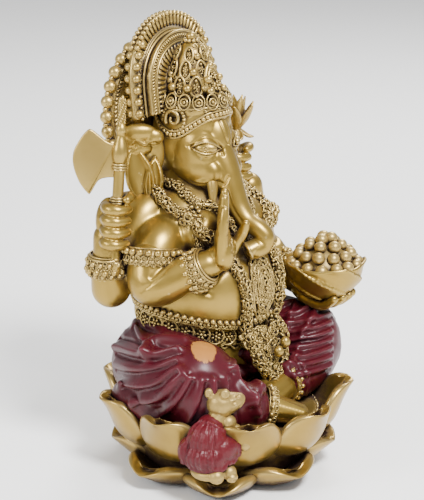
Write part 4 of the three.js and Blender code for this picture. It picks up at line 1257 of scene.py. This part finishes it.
cap = bmesh.new()
lathe(cap, smoothRoute(crownMake["profile"], 3), 64)
bmesh.ops.scale(cap, vec=crownMake["capSquash"], verts=cap.verts)
bmesh.ops.translate(cap, vec=onSeat(0, 32.5, crownMake["base"]), verts=cap.verts)
bmesh.ops.recalc_face_normals(cap, faces=cap.faces)
capTree = BVHTree.FromBMesh(cap)


def onCap(angle, z, above=0.0):
    out = Vector((math.cos(angle), math.sin(angle), 0.0))
    hit = capTree.ray_cast(onSeat(0, 32.5, crownMake["base"] + z) + out * 60, -out)
    spot, normal = (hit[0], hit[1]) if hit[0] else (onSeat(0, 32.5, crownMake["base"] + z), out)
    return spot + normal * above, normal


# an upright leaf outline with a floret inside it
def pointedFrame(bm, angle, z, width, height, wire, fill):
    spot, out = onCap(angle, z, 0.9)
    side = upright.cross(out).normalized()
    up = out.cross(side).normalized()
    edge = []
    for t in wholeTurn(20):
        reach = 0.5 - 0.5 * math.cos(t)
        x = width / 2 * math.sin(t) * (1 - 0.25 * reach ** 2)
        edge.append(spot + side * x + up * (height * (reach - 0.5)))
    tube(bm, edge, wire, sides=6, closed=True)
    stamp(bm, shapes[fill], facing(spot + out * 0.3, out, size=width * 0.27))
    stamp(bm, shapes["bead"], facing(spot + up * height * 0.3 + out * 0.2, out, size=width * 0.12))
    stamp(bm, shapes["ring"], facing(spot - up * height * 0.28 + out * 0.2, out, size=width * 0.14))


tiers = [        # height, how many round, width, height of frame and size of the beads between
    (13.0, 9, 6.4, 9.6, 2.3), (20.6, 8, 5.6, 8.8, 2.1), (27.4, 6, 4.4, 7.0, 1.7)]
for row, (z, count, width, height, bead) in enumerate(tiers):
    for i in range(count):
        angle = fullTurn * (i + 0.5 * (row % 2)) / count - math.pi / 2
        pointedFrame(cap, angle, z, width, height, 0.62, "floret")
        spot, out = onCap(angle + math.pi / count, z - 1.0, bead * 0.55)
        stamp(cap, shapes["pearl"], facing(spot, out, size=bead))
        spot, out = onCap(angle + math.pi / count, z + 3.6, 0.6)
        stamp(cap, shapes["scroll"], facing(spot, out, size=1.5, roll=chance.uniform(0, 6)))
egg(cap, onSeat(0, 32.5, crownMake["base"] + 35.0), (2.4, 2.4, 2.4))
for i in range(9):
    angle = fullTurn * i / 9
    spot = onSeat(3 * math.cos(angle), 32.5 + 3 * math.sin(angle), crownMake["base"] + 33.4)
    stamp(cap, shapes["bead"], facing(spot, (0, 0, 1), size=1.1))
finishGold("crownCap", cap, "crown_cap")

# the tiara plate: one large pointed frame with smaller ones inside, over the forehead
tiara = bmesh.new()
tiaraMake = {"foot": (0, 16.8, 148.5), "top": (0, 22.5, 163), "width": 10.5}
foot, top = onSeat(*tiaraMake["foot"]), onSeat(*tiaraMake["top"])
up = (top - foot).normalized()
out = up.cross(Vector((1, 0, 0))).normalized() * -1
for share, wire in ((1.0, 0.95), (0.72, 0.6), (0.45, 0.6)):
    edge = []
    for t in wholeTurn(28):
        reach = 0.5 - 0.5 * math.cos(t)
        x = tiaraMake["width"] / 2 * share * math.sin(t) * (1 - 0.3 * reach ** 2)
        middleSpot = foot.lerp(top, 0.5) + up * ((reach - 0.5) * (top - foot).length * share * 1.1)
        edge.append(middleSpot + Vector((x, 0, 0)) + out * (-0.05 * x * x + 1.2))
    tube(tiara, edge, wire, sides=7, closed=True)
leaf(tiara, foot, top + up * 1.5, tiaraMake["width"] + 1, out, cup=-2.2, thick=2.0, bend=0.6)
for share, height in ((-1, 0.25), (1, 0.25), (-0.9, 0.6), (0.9, 0.6), (0, 1.0), (0, 0.02)):
    spot = foot.lerp(top, height) + Vector((share * tiaraMake["width"] * 0.44, 0, 0)) + out * 1.2
    stamp(tiara, shapes["pearl"], facing(spot, out, size=2.0))
for share, height, size in ((0, 0.36, 2.6), (0, 0.68, 1.9), (-0.45, 0.42, 1.5), (0.45, 0.42, 1.5)):
    spot = foot.lerp(top, height) + Vector((share * tiaraMake["width"] * 0.44, 0, 0)) + out * 1.9
    stamp(tiara, shapes["floret"], facing(spot, out, size=size))
finishGold("tiara", tiara, "crown_tiara")

# two round-topped arches behind the crown, then the beaded halo
archMakes = {
    "innerArch": {"node": "inner_arch", "centre": (0, 38.2, 153.5), "radius": 25, "legs": 12, "lean": -0.12,
                  "half": 1.6},
    "outerArch": {"node": "outer_arch", "centre": (0, 43.6, 155.5), "radius": 31, "legs": 16, "lean": -0.12,
                  "half": 1.6},
}


def archFrame(make):
    place = Matrix.Translation(onSeat(*make["centre"])) @ Matrix.Rotation(make["lean"], 4, "X")

    def onArch(along, radius, out=0.0):        # along runs from 0 at one foot to 1 at the other
        full = math.pi * radius + 2 * make["legs"]
        d = along * full
        if d < make["legs"]:
            spot, way = Vector((radius, -out, d - make["legs"])), Vector((1, 0, 0))
        elif d > full - make["legs"]:
            spot, way = Vector((-radius, -out, full - d - make["legs"])), Vector((-1, 0, 0))
        else:
            a = (d - make["legs"]) / radius
            way = Vector((math.cos(a), 0, math.sin(a)))
            spot = way * radius + Vector((0, -out, 0))
        return place @ spot, place.to_3x3() @ way
    return onArch, place


def archRoute(onArch, radius, out, count=60):
    return [onArch(i / count, radius, out)[0] for i in range(count + 1)]


for name, make in archMakes.items():
    onArch, place = archFrame(make)
    front = (place.to_3x3() @ Vector((0, -1, 0))).normalized()
    radius = make["radius"]
    arch = bmesh.new()
    edgeVerts = []
    for i in range(41):        # the plate itself
        spot, _ = onArch(i / 40, radius - 1.2, 0)
        edgeVerts.append(arch.verts.new(spot))
    plate = bmesh.ops.contextual_create(arch, geom=edgeVerts)["faces"]
    deep = bmesh.ops.extrude_face_region(arch, geom=plate)["geom"]
    bmesh.ops.translate(arch, vec=front * (-make["half"] * 1.6),
                        verts=[g for g in deep if isinstance(g, bmesh.types.BMVert)])
    bmesh.ops.recalc_face_normals(arch, faces=arch.faces)
    bmesh.ops.triangulate(arch, faces=[f for f in arch.faces if len(f.verts) > 4])
    for side in (1, -1):
        out = 0.4 if side == 1 else -make["half"] * 1.6 - 0.3
        way = front * side
        if name == "innerArch":
            for r, wire in ((radius - 0.6, 0.75), (radius - 5.4, 0.7), (radius - 1.9, 0.4),
                            (radius - 4.3, 0.4)):
                tube(arch, archRoute(onArch, r, out + 0.3 * side), wire, sides=6)
            for i in range(64):        # slanted cord between the two smooth wires
                spot, out2 = onArch((i + 0.5) / 64, radius - 3.1, out + 0.35 * side)
                stamp(arch, shapes["seed"], facing(spot, way, up=out2, size=(0.62, 1.5, 0.8), roll=0.5))
            for i in range(34):        # ribs of the shell inside
                spot, out2 = onArch((i + 0.5) / 34, radius - 9.2, out + 0.2 * side)
                stamp(arch, shapes["bead"], facing(spot, way, up=out2, size=(0.85, 3.4, 0.9)))
            for i in range(18):
                spot, out2 = onArch((i + 0.5) / 18, radius - 14.4, out + 0.8 * side)
                stamp(arch, shapes["pearl"], facing(spot, way, up=out2, size=1.75))
        else:
            tube(arch, archRoute(onArch, radius - 8.2, out + 0.3 * side), 0.6, sides=6)
            count = 46
            for i in range(count):
                share = (i + 0.5) / count
                top = 0.27 < share < 0.73
                spot, out2 = onArch(share, radius - (3.4 if top else 6.9), out + 0.3 * side)
                if top:        # upright bars with round ends, like a comb
                    stamp(arch, shapes["bead"], facing(spot, way, up=out2, size=(0.95, 3.7, 1.15)))
                    spot, out2 = onArch(share, radius - 0.9, out + 0.2 * side)
                    stamp(arch, shapes["bead"], facing(spot, way, up=out2, size=(1.15, 1.5, 1.5)))
                else:
                    stamp(arch, shapes["ring"], facing(spot, way, up=out2, size=0.95))
            for i in range(22):
                share = (i + 0.5) / 22
                if 0.3 < share < 0.7:
                    continue
                spot, out2 = onArch(share, radius - 2.6, out + 0.8 * side)
                stamp(arch, shapes["pearl"], facing(spot, way, up=out2, size=2.05))
                stamp(arch, shapes["ring"], facing(spot + way * 1.3, way, up=out2, size=0.95))
                spot, out2 = onArch(share + 0.5 / 22, radius - 4.6, out + 0.5 * side)
                stamp(arch, shapes["bead"], facing(spot, way, up=out2, size=0.9))
    finishGold(name, arch, make["node"])

haloMake = {"radius": 38, "beads": 30, "bead": 3.25, "cordRadius": 29.6, "ribs": 56}
haloCentre = middle("halo")
halo = bmesh.new()
bmesh.ops.create_cone(halo, cap_ends=True, segments=72, radius1=32.5, radius2=32.5, depth=2.4,
                             matrix=Matrix.Translation(haloCentre) @ Matrix.Rotation(math.pi / 2, 4, "X"))
bmesh.ops.triangulate(halo, faces=[f for f in halo.faces if len(f.verts) > 4])


def onHalo(angle, radius, out):
    return haloCentre + Vector((radius * math.cos(angle), -out, radius * math.sin(angle)))


for side in (1, -1):
    way = Vector((0, -side, 0))
    for radius, wire in ((31.8, 0.7), (27.6, 0.55), (16.0, 0.6)):
        tube(halo, [onHalo(fullTurn * i / 72, radius, 1.2 * side) for i in range(72)], wire, sides=6,
             closed=True)
    cordSteps = 92
    for i in range(cordSteps):
        angle = fullTurn * i / cordSteps
        up = Vector((math.cos(angle), 0, math.sin(angle)))
        place = facing(onHalo(angle, haloMake["cordRadius"], 1.3 * side), way, up=up, size=(0.75, 1.75, 1.0),
                       roll=0.55)
        stamp(halo, shapes["seed"], place)
    for i in range(haloMake["ribs"]):
        angle = fullTurn * i / haloMake["ribs"]
        up = Vector((math.cos(angle), 0, math.sin(angle)))
        stamp(halo, shapes["bead"], facing(onHalo(angle, 21.8, 1.1 * side), way, up=up, size=(0.8, 4.6, 0.9)))
    for i in range(24):
        angle = fullTurn * (i + 0.5) / 24
        stamp(halo, shapes["floret"], facing(onHalo(angle, 12.6, 1.2 * side), way, size=1.6, roll=angle))
for i in range(haloMake["beads"]):
    angle = fullTurn * i / haloMake["beads"]
    spot = onHalo(angle, haloMake["radius"] - 3.4, 0)
    stamp(halo, shapes["pearl"], facing(spot, (0, -1, 0), size=haloMake["bead"]))
    for side in (1, -1):
        stamp(halo, shapes["ring"], facing(spot - Vector((0, 2.75 * side, 0)), (0, -side, 0), size=1.35))
    spot = onHalo(angle + math.pi / haloMake["beads"], haloMake["radius"] - 2.2, 0)
    stamp(halo, shapes["bead"], facing(spot, (0, -1, 0), size=1.3))
finishGold("halo", halo, "halo")
print("crown, arches and halo done")

# the axe: shaft with collars, vase-shaped knob and twisted finial, then the blade
axeMake = {
    "shaft": [(-4, 2.6), (0, 3.3), (3, 3.3), (5, 2.9), (30, 2.7), (33, 2.7), (46, 2.7), (47, 3.4),
              (48.4, 2.6), (50, 3.3), (53, 4.0), (56, 3.9),
              (59, 3.0), (62, 2.0), (64, 2.6), (66, 2.4), (68, 1.6), (74, 1.6), (78, 1.3), (80, 0.8),
              (81, 0.0)],
    "collars": (31.6, 47.4), "bladeAt": 50.0, "blade": [(2.2, -7.5), (5.5, -7.6), (9.4, -9.0), (12.6, -14.5),
                                                        (14.0, -15.0), (18.2, -9.8), (21.4, -2.0),
              (21.6, 4.5), (19.0, 10.2), (16.2, 14.0), (14.0, 15.0), (10.0, 12.2), (6.0, 9.2), (2.2, 8.0)],
    "bladeWay": (-0.62, 0.785, 0), "bladeThick": 2.1,
}
low, high = onSeat(*axeRod[0]), onSeat(*axeRod[1])
axeUp = (high - low).normalized()
axePlace = facing(low, axeUp)
handle = bmesh.new()
lathe(handle, [(max(r, 0.0), z) for z, r in [(-4.6, 0.0)] + [s[:2]
                                                             for s in smoothRoute(axeMake["shaft"], 3)]], 20)
bmesh.ops.recalc_face_normals(handle, faces=handle.faces)
handle.transform(axePlace)
for z in axeMake["collars"]:
    for dz, size in ((-1.2, 0.0), (0, 0.35), (1.2, 0.0)):
        tube(handle, [axePlace @ Vector(((3.1 + size) * math.cos(t), (3.1 + size) * math.sin(t), z + dz))
                      for t in wholeTurn(24)], 0.6, sides=6, closed=True)
for i in range(44):        # twisted cord up the finial
    turn, rise = i * math.pi / 2 + 0.3 * (i // 4), 67.5 + 0.27 * i
    spot = axePlace @ Vector((1.5 * math.cos(turn), 1.5 * math.sin(turn), rise))
    stamp(handle, shapes["seed"], facing(spot, spot - (axePlace @ Vector((0, 0, rise))), up=axeUp,
                                         size=(0.5, 1.0, 0.6), roll=0.6))
dish = axePlace @ Vector((-2.2, -1.8, -3.4))
tube(handle, [facing(dish, (-0.75, -0.6, -0.35)) @ Vector((1.5 * math.cos(t), 2.1 * math.sin(t), 0))
              for t in wholeTurn(16)],
     0.5, sides=6, closed=True)
finishGold("axeHandle", handle, "axe_handle")

blade = bmesh.new()
bladeWay = Vector(axeMake["bladeWay"]).normalized()
flat = bladeWay.cross(axeUp).normalized()
mount = low + axeUp * axeMake["bladeAt"]
edgeVerts = [blade.verts.new(mount + bladeWay * p[0] + axeUp * p[1] + flat * (axeMake["bladeThick"] / 2))
             for p in smoothRoute(axeMake["blade"], 4)]
face = bmesh.ops.contextual_create(blade, geom=edgeVerts)["faces"]
deep = bmesh.ops.extrude_face_region(blade, geom=face)["geom"]
bmesh.ops.translate(blade, vec=flat * -axeMake["bladeThick"],
                    verts=[g for g in deep if isinstance(g, bmesh.types.BMVert)])
bmesh.ops.recalc_face_normals(blade, faces=blade.faces)
rims = [e for e in blade.edges if any(len(f.verts) > 4 for f in e.link_faces)]
bmesh.ops.bevel(blade, geom=rims, offset=0.75, segments=3, profile=0.5, affect="EDGES", material=-1)
bmesh.ops.triangulate(blade, faces=[f for f in blade.faces if len(f.verts) > 4])
finish("axeBlade", blade, finishes["paleGold"], "pale_gold", "axe_blade")

# the lotus flower held up at the left, on its thin stem
flowerMake = {"foot": (43, 38, 122), "rows": [(6, 0.0, 4.2, 17.5, 6.2, 0.5), (6, 0.5, 9.2, 14.0, 6.0, 0.2),
                                              (5, 0.2, 8.2, -3.5, 4.6, -0.8)]}
stem = bmesh.new()
route = smoothRoute([(45, 36, 89.4), (44.6, 36.6, 98), (43.6, 37.4, 110), (43, 38, 122.5)], 6)
tube(stem, [onSeat(*p) for p in route], 1.25, sides=8)
egg(stem, onSeat(43, 38, 121.4), (2.2, 2.2, 2.0))
finishGold("flowerStem", stem, "lotus_stem")
flower = bmesh.new()
fx, fy, fz = flowerMake["foot"]
egg(flower, onSeat(fx, fy, fz + 3), (3.0, 3.0, 3.6))
for count, start, reach, rise, width, curl in flowerMake["rows"]:
    for i in range(count):
        angle = fullTurn * (i + start) / count
        way = level(angle)
        root = onSeat(fx, fy, fz + 1) + way * 1.0
        tip = onSeat(fx, fy, fz + rise) + way * reach
        inward = (upright * reach - way * rise).normalized() if rise > 0 else upright
        leaf(flower, root, tip, width, inward, cup=1.3, thick=0.9, bend=-1.2, swell=0.85, blunt=0.75,
             curl=curl, across=6, along=9)
finish("lotusFlower", flower, finishes["paleGold"], "pale_gold", "lotus_flower", rounding=1)

# the leaf bowl and its sweets
bowlLow, bowlHigh = box("offering_bowl")
bowlFoot = Vector(((bowlLow.x + bowlHigh.x) / 2, (bowlLow.y + bowlHigh.y) / 2, bowlLow.z))
bowlMake = {"profile": [(0, 0), (6, 0.2), (10.5, 1.4), (15.2, 5.2), (18.4, 10.5), (20.0, 16.5), (20.2, 18.4),
                        (18.8, 18.6), (17.6, 15), (14.5, 10.5), (0, 9)],
            "leaves": 5, "twist": 1.5, "step": 1.7}
bowl = bmesh.new()
lathe(bowl, [(max(s[0], 0), s[1]) for s in smoothRoute(bowlMake["profile"], 6)], 200)
bmesh.ops.recalc_face_normals(bowl, faces=bowl.faces)
for vert in bowl.verts:        # each leaf wraps over the edge of the next
    x, y, z = vert.co
    reach = math.hypot(x, y)
    if reach < 4:
        continue
    height = z / 18
    turn = (math.atan2(y, x) / (fullTurn) * bowlMake["leaves"] + bowlMake["twist"] * height) % 1
    step = bowlMake["step"] * (turn ** 1.6) * min(reach / 10, 1)
    ripple = 0.35 * math.sin(9 * turn) * height
    grow = (reach + step - bowlMake["step"] * 0.6 + ripple) / reach
    vert.co = (x * grow, y * grow, z + 1.6 * height * (turn - 0.5) * (1 if z > 12 else 0.3))
soften(bowl, 0.4)
bmesh.ops.translate(bowl, vec=bowlFoot, verts=bowl.verts)
finishGold("leafBowl", bowl, "offering_bowl")

sweetMake = {"radius": 3.15, "rows": [(16.2, 14, 18.2), (12.6, 11, 23.0), (8.0, 7, 27.2), (3.0, 3, 30.0)]}
sweets = bmesh.new()
egg(sweets, bowlFoot + Vector((0, 0, 13)), (15.8, 15.8, 14.5))
for reach, count, rise in sweetMake["rows"]:
    for i in range(count):
        angle = fullTurn * (i + chance.uniform(-0.12, 0.12)) / count + reach
        size = sweetMake["radius"] * chance.uniform(0.94, 1.06)
        spot = bowlFoot + Vector((reach * math.cos(angle), reach * math.sin(angle),
                                  rise + chance.uniform(-0.5, 0.5)))
        egg(sweets, spot, (size, size, size * 0.97), detail=3)
finish("sweets", sweets, finishes["paleGold"], "pale_gold", "laddu_pile")
print("held things done")

# the lotus: two rows of fleshy petals, hollow like spoons, with their tips rolled outwards
lotusMiddle = middle("lotus_seat")
lotusMiddle.z = 0
petalsFoot = 1.5        # the petals are cut off level just above the felt
petalMakes = {
    "lowerPetals": {"node": "lotus_lower_petals", "count": 9, "start": -145, "root": (20, 4.0),
                    "tip": (53.5, 17), "width": 40,
                    "thick": 4.8, "cup": 8.0, "bend": -10.0, "curl": 4.4, "rim": 1.8, "forward": 8.0,
                    "droop": 8.0},
    "upperPetals": {"node": "lotus_upper_petals", "count": 9, "start": -92, "root": (32, 8), "tip": (57, 42),
                    "width": 37,
                    "thick": 4.4, "cup": 7.0, "bend": -11.0, "curl": 7.5, "rim": 1.8, "forward": 0.0,
                    "droop": 0.0},
}
for name, make in petalMakes.items():
    petals = bmesh.new()
    for i in range(make["count"]):
        angle = math.radians(make["start"] + 360 * i / make["count"] + chance.uniform(-2.5, 2.5))
        way = level(angle)
        (r0, z0), (r1, z1) = make["root"], make["tip"]
        # the petals below the mouse hang lowest
        under = max(math.cos(angle - math.radians(-145)), 0) ** 2
        rise = chance.uniform(-1.5, 1.5)
        root = lotusMiddle + way * r0 + Vector((0, 0, z0))
        tip = lotusMiddle + way * (r1 + make["forward"] * under
                                   + rise * 0.5) + Vector((0, 0, z1 - make["droop"] * under + rise))
        inward = (upright * (r1 - r0) - way * (z1 - z0)).normalized()
        leaf(petals, root, tip, make["width"] * chance.uniform(0.95, 1.05), inward, cup=make["cup"],
             thick=make["thick"],
             bend=make["bend"], curl=make["curl"], rim=make["rim"], swell=1.05, blunt=0.36, across=14,
             along=16)
    cutBelow(petals, (0, 0, petalsFoot), 1e-4)
    finish(name, petals, finishes["lotusGold"], "pale_gold", make["node"], rounding=1)

seat = bmesh.new()
lathe(seat, ((0, 1.6), (38, 1.6), (43, 8), (45.5, 16), (46, 23.5), (45, 25.6), (43.5, 26), (0, 26)), 72)
bmesh.ops.recalc_face_normals(seat, faces=seat.faces)
bmesh.ops.translate(seat, vec=lotusMiddle, verts=seat.verts)
for i in range(90):        # stamens round the seed-head
    angle = fullTurn * i / 90
    way = level(angle)
    spot = lotusMiddle + way * 45.6 + Vector((0, 0, 24.6 + chance.uniform(-0.4, 0.4)))
    stamp(seat, shapes["bead"], facing(spot, way, size=(0.9, 1.9, 0.9)))
finish("lotusSeat", seat, finishes["lotusGold"], "antique_gold", "lotus_seat")
print("lotus done")

# the mouse on a lower petal: cream head and feet, and a rough red cape over its back
mouseMake = {"headSpot": (-51.0, -25.0, 46.5), "grain": 0.34}
hx, hy, hz = mouseMake["headSpot"]


def raw(x, y, z):
    return Vector((x, y, z))


mouse = bmesh.new()
egg(mouse, raw(hx, hy, hz), (6.8, 7.0, 6.6), turn=(0.2, 0.1, 0))
limb(mouse, [(hx + 1.5, hy - 2, hz, 5.6), (hx + 4.4, hy - 4.0, hz + 0.6, 4.4),
             (hx + 6.6, hy - 5.4, hz + 1.4, 3.0)], place=raw)
for dx, dy, dz in ((-2.4, -4.2, 6.2), (-4.2, 3.6, 5.4)):
    egg(mouse, raw(hx + dx, hy + dy, hz + dz), (2.3, 2.3, 2.5))
limb(mouse, [(hx - 1, hy, hz - 4, 4.4), (hx - 4, hy + 0.5, hz - 9, 5.2)], place=raw)
mouse = fuse(mouse, mouseMake["grain"], 2)
strokes = []
for dx, dy, dz in ((-2.4, -4.2, 6.2), (-4.2, 3.6, 5.4)):
    centreSpot = raw(hx + dx, hy + dy, hz + dz)
    strokes.append(([centreSpot + Vector((-2.4, -1.8, 0.2)), centreSpot + Vector((-2.2, -2.0, 0.6))], 1.0,
                    -0.9))
for dx, dy, dz in ((3.6, -6.2, 3.4), (0.5, -7.5, 1.8)):
    eye = raw(hx + dx, hy + dy, hz + dz)
    strokes.append(([eye, eye + Vector((0.5, -0.2, 0.1))], 0.7, -0.7))
    strokes.append(([eye + Vector((-0.8, 0, 1.4)), eye + Vector((0.9, -0.4, 1.5))], 0.5, 0.4))
strokes.append(([raw(hx + 4, hy - 8, hz - 1.2), raw(hx + 7, hy - 8.4, hz + 0.6)], 0.4, -0.5))
press(mouse, strokes)
finish("mouseHead", mouse, finishes["mouseGold"], "pale_gold", "mouse_head")

cape = bmesh.new()
capeMake = {"eggs": [((-59, -23.6, 30), (9.6, 9.6, 10.5)), ((-62, -24.5, 24), (9.0, 10.6, 7.5)),
                     ((-56.5, -23.5, 37), (6.4, 6.4, 5.5)),
                     ((-55, -31, 27), (8.6, 5.4, 6.6)), ((-50.5, -32.4, 27), (4.6, 4.0, 5.0)),
                     ((-63, -16.5, 25), (6.4, 5.6, 7.0))]}
for centre, radii in capeMake["eggs"]:
    egg(cape, Vector(centre), radii)
cape = fuse(cape, 0.42, 4)
strokes = []
for k in range(9):
    y = -35 + 2.7 * k
    strokes.append(([Vector((-68, y - 1, 21)), Vector((-67, y, 28)),
                     Vector((-60, -24 + (y + 24) * 0.35, 39))], 0.55, 0.5 * (1 if k % 2 else -1)))
for t in np.linspace(0, 1, 7)[:-1]:
    strokes.append(([Vector((-68 + 16 * t, -34 - 3 * t, 19)), Vector((-66 + 16 * t, -34 - 3 * t, 20.5))], 1.0,
                    0.8))
hem = [(-70, -14, 19), (-71, -24, 17), (-67, -33, 17.5), (-58, -37, 19.5), (-49, -37, 21)]
strokes.append(([Vector(p) for p in hem], 0.9, 0.9))
strokes.append(([Vector((-62, -25, 41)), Vector((-58, -31, 38)), Vector((-52, -31, 34))], 0.8, 0.8))
press(cape, strokes)
roughness = np.array([chance.uniform(-0.09, 0.09) for _ in cape.verts])
raiseSkin(cape, roughness)
finish("mouseCape", cape, finishes["vest"], "mouse_red", "mouse_vest")

paws = bmesh.new()
pawMake = [((-64, -32.5, 16.5), (3.8, 3.8, 3.6)), ((-56.5, -34, 16.5), (3.6, 3.6, 3.6)),
           ((-62, -26, 16.5), (7.5, 8.5, 3.6)), ((-57, -36, 14.6), (3.0, 2.8, 2.4)),
           ((-49, -32, 33), (3.6, 3.4, 4.4)), ((-51, -29, 38), (4, 4, 4)),
           ((-47.5, -36, 27.5), (3.0, 2.8, 3.0))]
for centre, radii in pawMake:
    egg(paws, Vector(centre), radii)
paws = fuse(paws, 0.38, 2)
strokes = []
for k in range(4):
    x = -59.5 + 1.6 * k
    strokes.append(([Vector((x, -41, 14)), Vector((x + 0.2, -41, 11))], 0.5, -0.6))
    strokes.append(([Vector((x - 7.5, -38, 15)), Vector((x - 7.3, -38, 12))], 0.5, -0.6))
press(paws, strokes)
finish("mousePaws", paws, finishes["mouseGold"], "pale_gold", "mouse_body")
sweet = bmesh.new()
spot = middle("mouse_offering")
for i in range(12):
    angle = fullTurn * i / 12
    out = Vector((math.cos(angle), math.sin(angle), 0.5 * math.sin(2 * angle)))
    stamp(sweet, shapes["bead"], facing(spot + out * 2.3, out, size=1.25))
egg(sweet, spot, (2.9, 2.9, 2.9))
egg(sweet, spot + Vector((0.6, -0.6, 2.6)), (1.4, 1.4, 1.6))
finish("mouseSweet", sweet, finishes["mouseGold"], "pale_gold", "mouse_offering")
print("mouse done")

# base pad in felt, and the steel pins that stay inside
def feltPaint():
    material = bpy.data.materials.new("baseFelt")
    material.use_nodes = True
    tree = material.node_tree
    surface = tree.nodes["Principled BSDF"]
    where = tree.nodes.new("ShaderNodeTexCoord")
    fibres = addNode(tree, "ShaderNodeTexNoise", Scale=1500.0, Detail=5.0, Roughness=0.8)
    patches = addNode(tree, "ShaderNodeTexNoise", Scale=90.0, Detail=3.0)
    for texture in (fibres, patches):
        tree.links.new(where.outputs["Object"], texture.inputs["Vector"])
    tree.links.new(mix(tree, patches.outputs["Fac"], (0.012, 0.010, 0.009), (0.030, 0.026, 0.022)),
                   surface.inputs["Base Color"])
    bump = addNode(tree, "ShaderNodeBump", Strength=0.8, Distance=0.0003)
    tree.links.new(fibres.outputs["Fac"], bump.inputs["Height"])
    tree.links.new(bump.outputs["Normal"], surface.inputs["Normal"])
    surface.inputs["Roughness"].default_value = 0.95
    surface.inputs["Sheen Weight"].default_value = 0.4
    return material


def steelPaint():
    material = bpy.data.materials.new("drawnSteel")
    material.use_nodes = True
    tree = material.node_tree
    surface = tree.nodes["Principled BSDF"]
    where = tree.nodes.new("ShaderNodeTexCoord")
    stretch = addNode(tree, "ShaderNodeMapping", Scale=(1.0, 1.0, 0.03))
    tree.links.new(where.outputs["Object"], stretch.inputs["Vector"])
    draw = addNode(tree, "ShaderNodeTexNoise", Scale=2500.0, Detail=4.0)
    tree.links.new(stretch.outputs[0], draw.inputs["Vector"])
    tree.links.new(mix(tree, draw.outputs["Fac"], (0.34, 0.34, 0.35), (0.62, 0.62, 0.61)),
                   surface.inputs["Base Color"])
    tree.links.new(maths(tree, "ADD", maths(tree, "MULTIPLY", draw.outputs["Fac"], 0.25), 0.2),
                   surface.inputs["Roughness"])
    surface.inputs["Metallic"].default_value = 1.0
    return material


def repaint(material, *nodes):
    for node in nodes:
        held = bpy.data.objects[node]
        held.data.materials.clear()
        held.data.materials.append(material)


repaint(feltPaint(), "base_pad")
repaint(steelPaint(), "body_pin", "neck_pin", "right_rear_arm_pin", "left_rear_arm_pin", "halo_pin")

# floor, lights and camera
studio = {
    "floorSize": 6.0, "floorTone": (0.93, 0.93, 0.92), "skyTone": (0.95, 0.95, 0.96), "skyStrength": 0.75,
    "azimuth": -52, "elevation": 17, "distance": 0.9, "lens": 136, "aim": (-10.3, 12.0, 77.0),
    "lights": [        # azimuth, elevation, distance, size and watts
        ("keyLight", -20, 52, 1.0, 0.30, 24), ("fillLight", -112, 25, 1.2, 0.4, 9),
        ("rimLight", 110, 40, 1.1, 0.4, 13)],
}
lowNow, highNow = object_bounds()
centre = (lowNow + highNow) / 2


def around(azimuth, elevation):
    a, e = math.radians(azimuth), math.radians(elevation)
    return Vector((math.sin(a) * math.cos(e), -math.cos(a) * math.cos(e), math.sin(e)))


floorMesh = bmesh.new()
bmesh.ops.create_grid(floorMesh, x_segments=4, y_segments=4, size=studio["floorSize"] / 2)
mesh = bpy.data.meshes.new("floor")
floorMesh.to_mesh(mesh)
floorMesh.free()
floor = bpy.data.objects.new("floor", mesh)
bpy.context.scene.collection.objects.link(floor)
floorPaint = bpy.data.materials.new("paleFloor")
floorPaint.use_nodes = True
floorPaint.node_tree.nodes["Principled BSDF"].inputs["Base Color"].default_value = (*studio["floorTone"], 1)
floorPaint.node_tree.nodes["Principled BSDF"].inputs["Roughness"].default_value = 0.8
mesh.materials.append(floorPaint)

world = bpy.context.scene.world or bpy.data.worlds.new("studio")
bpy.context.scene.world = world
world.use_nodes = True
sky = world.node_tree.nodes["Background"]
sky.inputs["Color"].default_value = (*studio["skyTone"], 1)
sky.inputs["Strength"].default_value = studio["skyStrength"]

for name, azimuth, elevation, distance, size, watts in studio["lights"]:
    lamp = bpy.data.lights.new(name, "AREA")
    lamp.shape = "DISK"
    lamp.size = size
    lamp.energy = watts
    holder = bpy.data.objects.new(name, lamp)
    away = around(azimuth, elevation)
    holder.location = centre + away * distance
    holder.rotation_euler = away.to_track_quat("Z", "Y").to_euler()
    bpy.context.scene.collection.objects.link(holder)

back = around(studio["azimuth"], studio["elevation"])
lens = bpy.data.cameras.new("camera")
lens.lens = studio["lens"]
camera = bpy.data.objects.new("camera", lens)
aim = onSeat(*studio["aim"]) / perMetre
camera.location = aim + back * studio["distance"]
camera.rotation_euler = back.to_track_quat("Z", "Y").to_euler()
bpy.context.scene.collection.objects.link(camera)
bpy.context.scene.camera = camera

print("scene ready")
